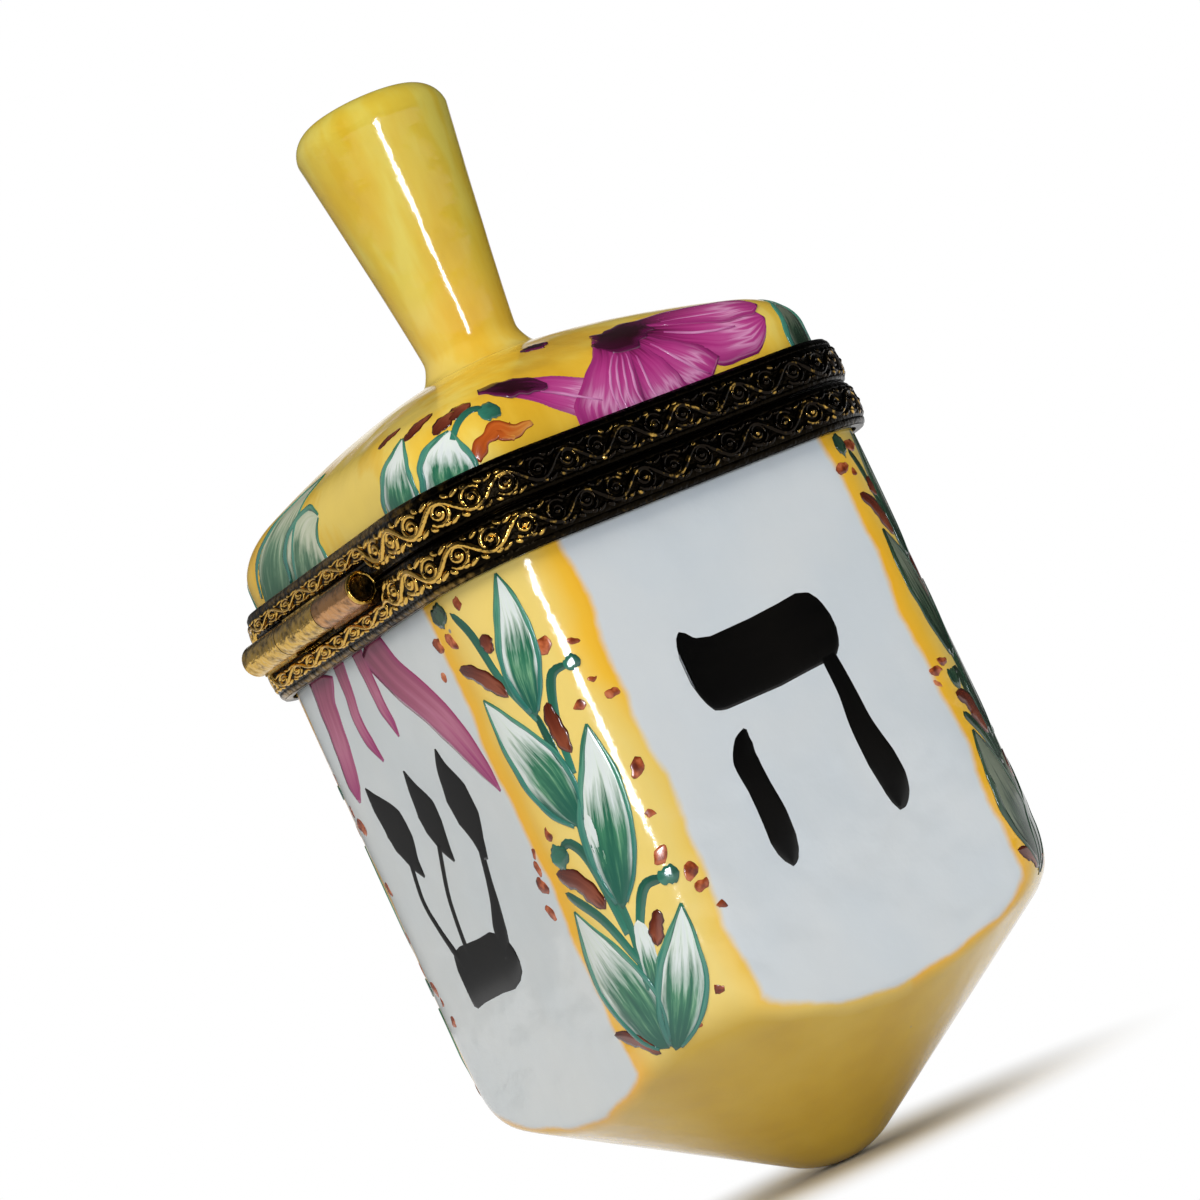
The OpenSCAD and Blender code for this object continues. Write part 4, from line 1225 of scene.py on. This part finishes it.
# %% The wavy stem, a curl in every hollow, buds and dots
flat = vine("GeometryNodeMeshLine", {"Count": steps, "Offset": vine("CombineXYZ", (length,))},
            mode="END_POINTS")
waves = vine("Math", (along, wave), operation="DIVIDE")
turn = vine("Math", (vine("Math", (waves, 2 * math.pi), operation="MULTIPLY"),), operation="SINE")
swing = vine("Math", (turn, given["Swing"]), operation="MULTIPLY")
swayed = vine("GeometryNodeSetPosition", {"Geometry": flat, "Offset": vine("CombineXYZ", (0.0, swing))})
wire = vine("GeometryNodeCurvePrimitiveCircle", {"Resolution": 8, "Radius": given["Wire"]})
stem = vine("GeometryNodeCurveToMesh", {
    "Curve": vine("GeometryNodeMeshToCurve", (swayed,)), "Profile Curve": wire, "Fill Caps": True})

first, pace = (
    vine("CombineXYZ", (vine("Math", (wave, share), operation="MULTIPLY"),)) for share in (0.25, 0.5))
hollows = vine("GeometryNodeMeshLine", {"Count": halves, "Start Location": first, "Offset": pace},
               mode="OFFSET")
crossings = vine("GeometryNodeMeshLine", {"Count": halves, "Offset": pace}, mode="OFFSET")
spiral = vine("GeometryNodeCurveSpiral", {
    "Resolution": 16, "Rotations": 1.4, "Start Radius": 0.00026, "End Radius": 0.00088, "Height": 0.0})
thinner = vine("Math", (given["Wire"], 0.8), operation="MULTIPLY")
thin_wire = vine("GeometryNodeCurvePrimitiveCircle", {"Resolution": 7, "Radius": thinner})
curl = vine("GeometryNodeCurveToMesh", {"Curve": spiral, "Profile Curve": thin_wire, "Fill Caps": True})
odd = vine("Math", (vine("GeometryNodeInputIndex"), 2.0), operation="MODULO")
flip = vine("CombineXYZ", (0.0, 0.0, vine("Math", (odd, math.pi), operation="MULTIPLY")))
curls = vine("GeometryNodeInstanceOnPoints", {"Points": hollows, "Instance": curl, "Rotation": flip})
dot_ball = vine("GeometryNodeMeshIcoSphere", {"Radius": given["Dot"], "Subdivisions": 2})
dots_on = vine("GeometryNodeInstanceOnPoints", {"Points": hollows, "Instance": dot_ball})
buds = [vine("GeometryNodeTransform", {"Geometry": dot_ball, "Translation": (x * way * MM, y * way * MM, 0.0),
                                       "Rotation": (0, 0, lean), "Scale": (long, 0.8, 0.85)})
        for x, y, lean, long in ((0.30, 0.84, 0.5, 1.9), (-0.45, 0.86, -0.6, 1.3), (0.95, 0.88, 0.2, 1.2))
        for way in (1, -1)]
bunch = vine("GeometryNodeJoinGeometry", {0: buds})
buds_on = vine("GeometryNodeInstanceOnPoints", {"Points": crossings, "Instance": bunch, "Rotation": flip})

# %% Bend the flat vine round the rim, press it where the hinge needs room and lay it flat under the clasp
SAG = -82.6                                       # per metre: how the vine follows the curve of the swelling
# metres: the clasp lies on the band along this stretch, at this y
CLASP_HALF, CLASP_Y = 0.0028, -0.01893
joined = vine("GeometryNodeJoinGeometry", {0: [stem, curls, dots_on, buds_on]})
real = vine("GeometryNodeRealizeInstances", (joined,))
kept = vine("GeometryNodeStoreNamedAttribute", {"Geometry": real, "Name": "crest", "Value": height},
            data_type="FLOAT", domain="POINT")
round_rim = vine("Math", (along, length), operation="FLOORED_MODULO")
spot = vine("GeometryNodeSampleCurve", {"Curves": rim_line, "Length": round_rim}, mode="LENGTH").outputs
outward = vine("VectorMath", (spot["Tangent"], (0, 0, 1)), operation="CROSS_PRODUCT")
squared = vine("Math", (across, across), operation="MULTIPLY")
sag = vine("Math", (squared, SAG), operation="MULTIPLY")
stand = vine("Math", (height, sag), operation="ADD")
raised = vine("VectorMath", {0: outward, "Scale": stand}, operation="SCALE")
based = vine("VectorMath", (spot["Position"], raised), operation="ADD")
x, y, _ = vine("SeparateXYZ", (based,)).outputs
off_hinge = from_line(vine_tree, x, HINGE_MIDDLE * MM)
room_there = vine("MapRange", (off_hinge, HINGE_HALF * MM, (HINGE_HALF + HINGE_FADE) * MM, HINGE_ROOM, 1.0))
at_hinge = vine("Math", (y, HINGE_SIDE * MM), operation="GREATER_THAN")
press = vine("Mix", {"Factor": at_hinge, "A": 1.0, "B": room_there}, data_type="FLOAT")
level = vine("Math", (across, given["Level"]), operation="ADD")
tall = vine("Math", (level, given["Far Edge"]), operation="SUBTRACT")
pressed = vine("Math", (tall, press, given["Far Edge"]), operation="MULTIPLY_ADD")
off_clasp = vine("Math", (x,), operation="ABSOLUTE")
at_clasp = vine("Math", (off_clasp, CLASP_HALF), operation="LESS_THAN")
limit = vine("Mix", {"Factor": at_clasp, "A": -1.0, "B": CLASP_Y}, data_type="FLOAT")
landed = vine("CombineXYZ", (x, vine("Math", (y, limit), operation="MAXIMUM"), pressed))
bent = vine("GeometryNodeSetPosition", {"Geometry": kept, "Position": landed})
end_tree(vine_tree, bent, given["Material"])

# %% Relief on both bands
# points round the rim, and how far the vine stands out in millimetres
RIM_STEPS, RIM_OUT = 320, 1.14
rim_angles = side_angle(np.linspace(-2 * side, 2 * side, RIM_STEPS, endpoint=False))
rim_reach = square(-RIM_OUT, rim_angles) * MM
rim_points = np.column_stack([rim_reach * np.cos(rim_angles), rim_reach * np.sin(rim_angles), 0 * rim_reach])
rim_path = bpy.data.meshes.new("rim_path")
rim_path.from_pydata(rim_points.tolist(), [(i, (i + 1) % RIM_STEPS) for i in range(RIM_STEPS)], [])
for name, level, far_edge, body_name in (
        ("base_band_relief", 0.04795, 0.04664, "base"), ("lid_band_relief", 0.05100, 0.05231, "lid")):
    grown(name, rim_path.copy(), vine_tree, {"Level": level, "Far Edge": far_edge, "Material": relief_brass},
          body_name)

# %% Finish of the plain metal and cement that the CAD gives
# handled gilding on the barrel and the clasp: bright, with dark specks
hinge_brass = brass("worn_gilt_brass", "#2A1E0C", "#D0A850", 0.42, (0.14, 0.34), 0.6, speckle=1.5)
# one knuckle of redder metal, whose gilding has gone
copper_brass = brass("coppery_brass", "#3A2412", "#BE8A56", 0.5, (0.22, 0.38), 0.4)
# strips inside that nobody touches: bright and even
inner_brass = brass("bright_inner_brass", "#6A5226", "#D2AC60", 0.7, (0.18, 0.3), 0.15)
# painted shade: the pin, whose end sits in the mouth of the barrel, is nearly black
pin_shade_brass = brass("pin_end_painted_shade", "#0B0805", "#6A5228", 0.3, (0.2, 0.4), 0.8)
# setting cement: matt and chalky, with a fine grain
cement, tree, shader = new_material("white_setting_cement")
place = add(tree, "TexCoord").outputs["Object"]
grain = add(tree, "TexNoise", {"Vector": place, "Scale": 2500.0, "Detail": 3.0})    # plaster grain, 0.4 mm
colour = add(tree, "ValToRGB", (grain,), [(0.3, "#BDB8A8"), (0.7, "#D6D2C6")])
bump = add(tree, "Bump", {"Height": grain, "Strength": 0.5, "Distance": 0.0001})
fill(tree, shader, {"Base Color": colour, "Normal": bump, "Roughness": 0.85})
for material, nodes in (
        (band_brass, ("base_bezel", "lid_bezel")), (pin_shade_brass, ("hinge_pin",)),
        (copper_brass, ("base_knuckle_near",)),
        (hinge_brass, ("base_knuckle_far", "lid_knuckle", "clasp_tongue", "clasp_stud")),
        (inner_brass, ("base_collar", "lid_liner")), (cement, ("base_cement", "lid_cement"))):
    for node in nodes:
        for slot in frame["nodes"][node].material_slots:
            slot.material = material
    print(material.name, "is on", *nodes)

# %% A raised lip round each end of the hinge barrel
# radius of the lip, and how far it stands out from the end of the barrel
LIP = [(0.88, -0.05), (0.88, 0.20), (0.94, 0.30), (1.04, 0.33), (1.14, 0.29), (1.19, 0.18), (1.19, -0.05)]
BARREL_Y, BARREL_Z = 19.7, 49.4
lip_turns = np.linspace(0, 2 * math.pi, 36, endpoint=False)
for name, end, sign in (("near_barrel_lip", -6.0, -1), ("far_barrel_lip", 12.0, 1)):
    points = [(end + sign * d, BARREL_Y + r * math.cos(a), BARREL_Z + r * math.sin(a))
              for r, d in LIP for a in lip_turns]
    closed_sweep(name, points, len(LIP), len(lip_turns), hinge_brass, "base")

# %% The CAD box and the visual box
visual_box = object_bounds()
for name, box in (("CAD box", cad_box), ("visual box", visual_box)):
    print(name, [[round(c, 5) for c in v] for v in box])
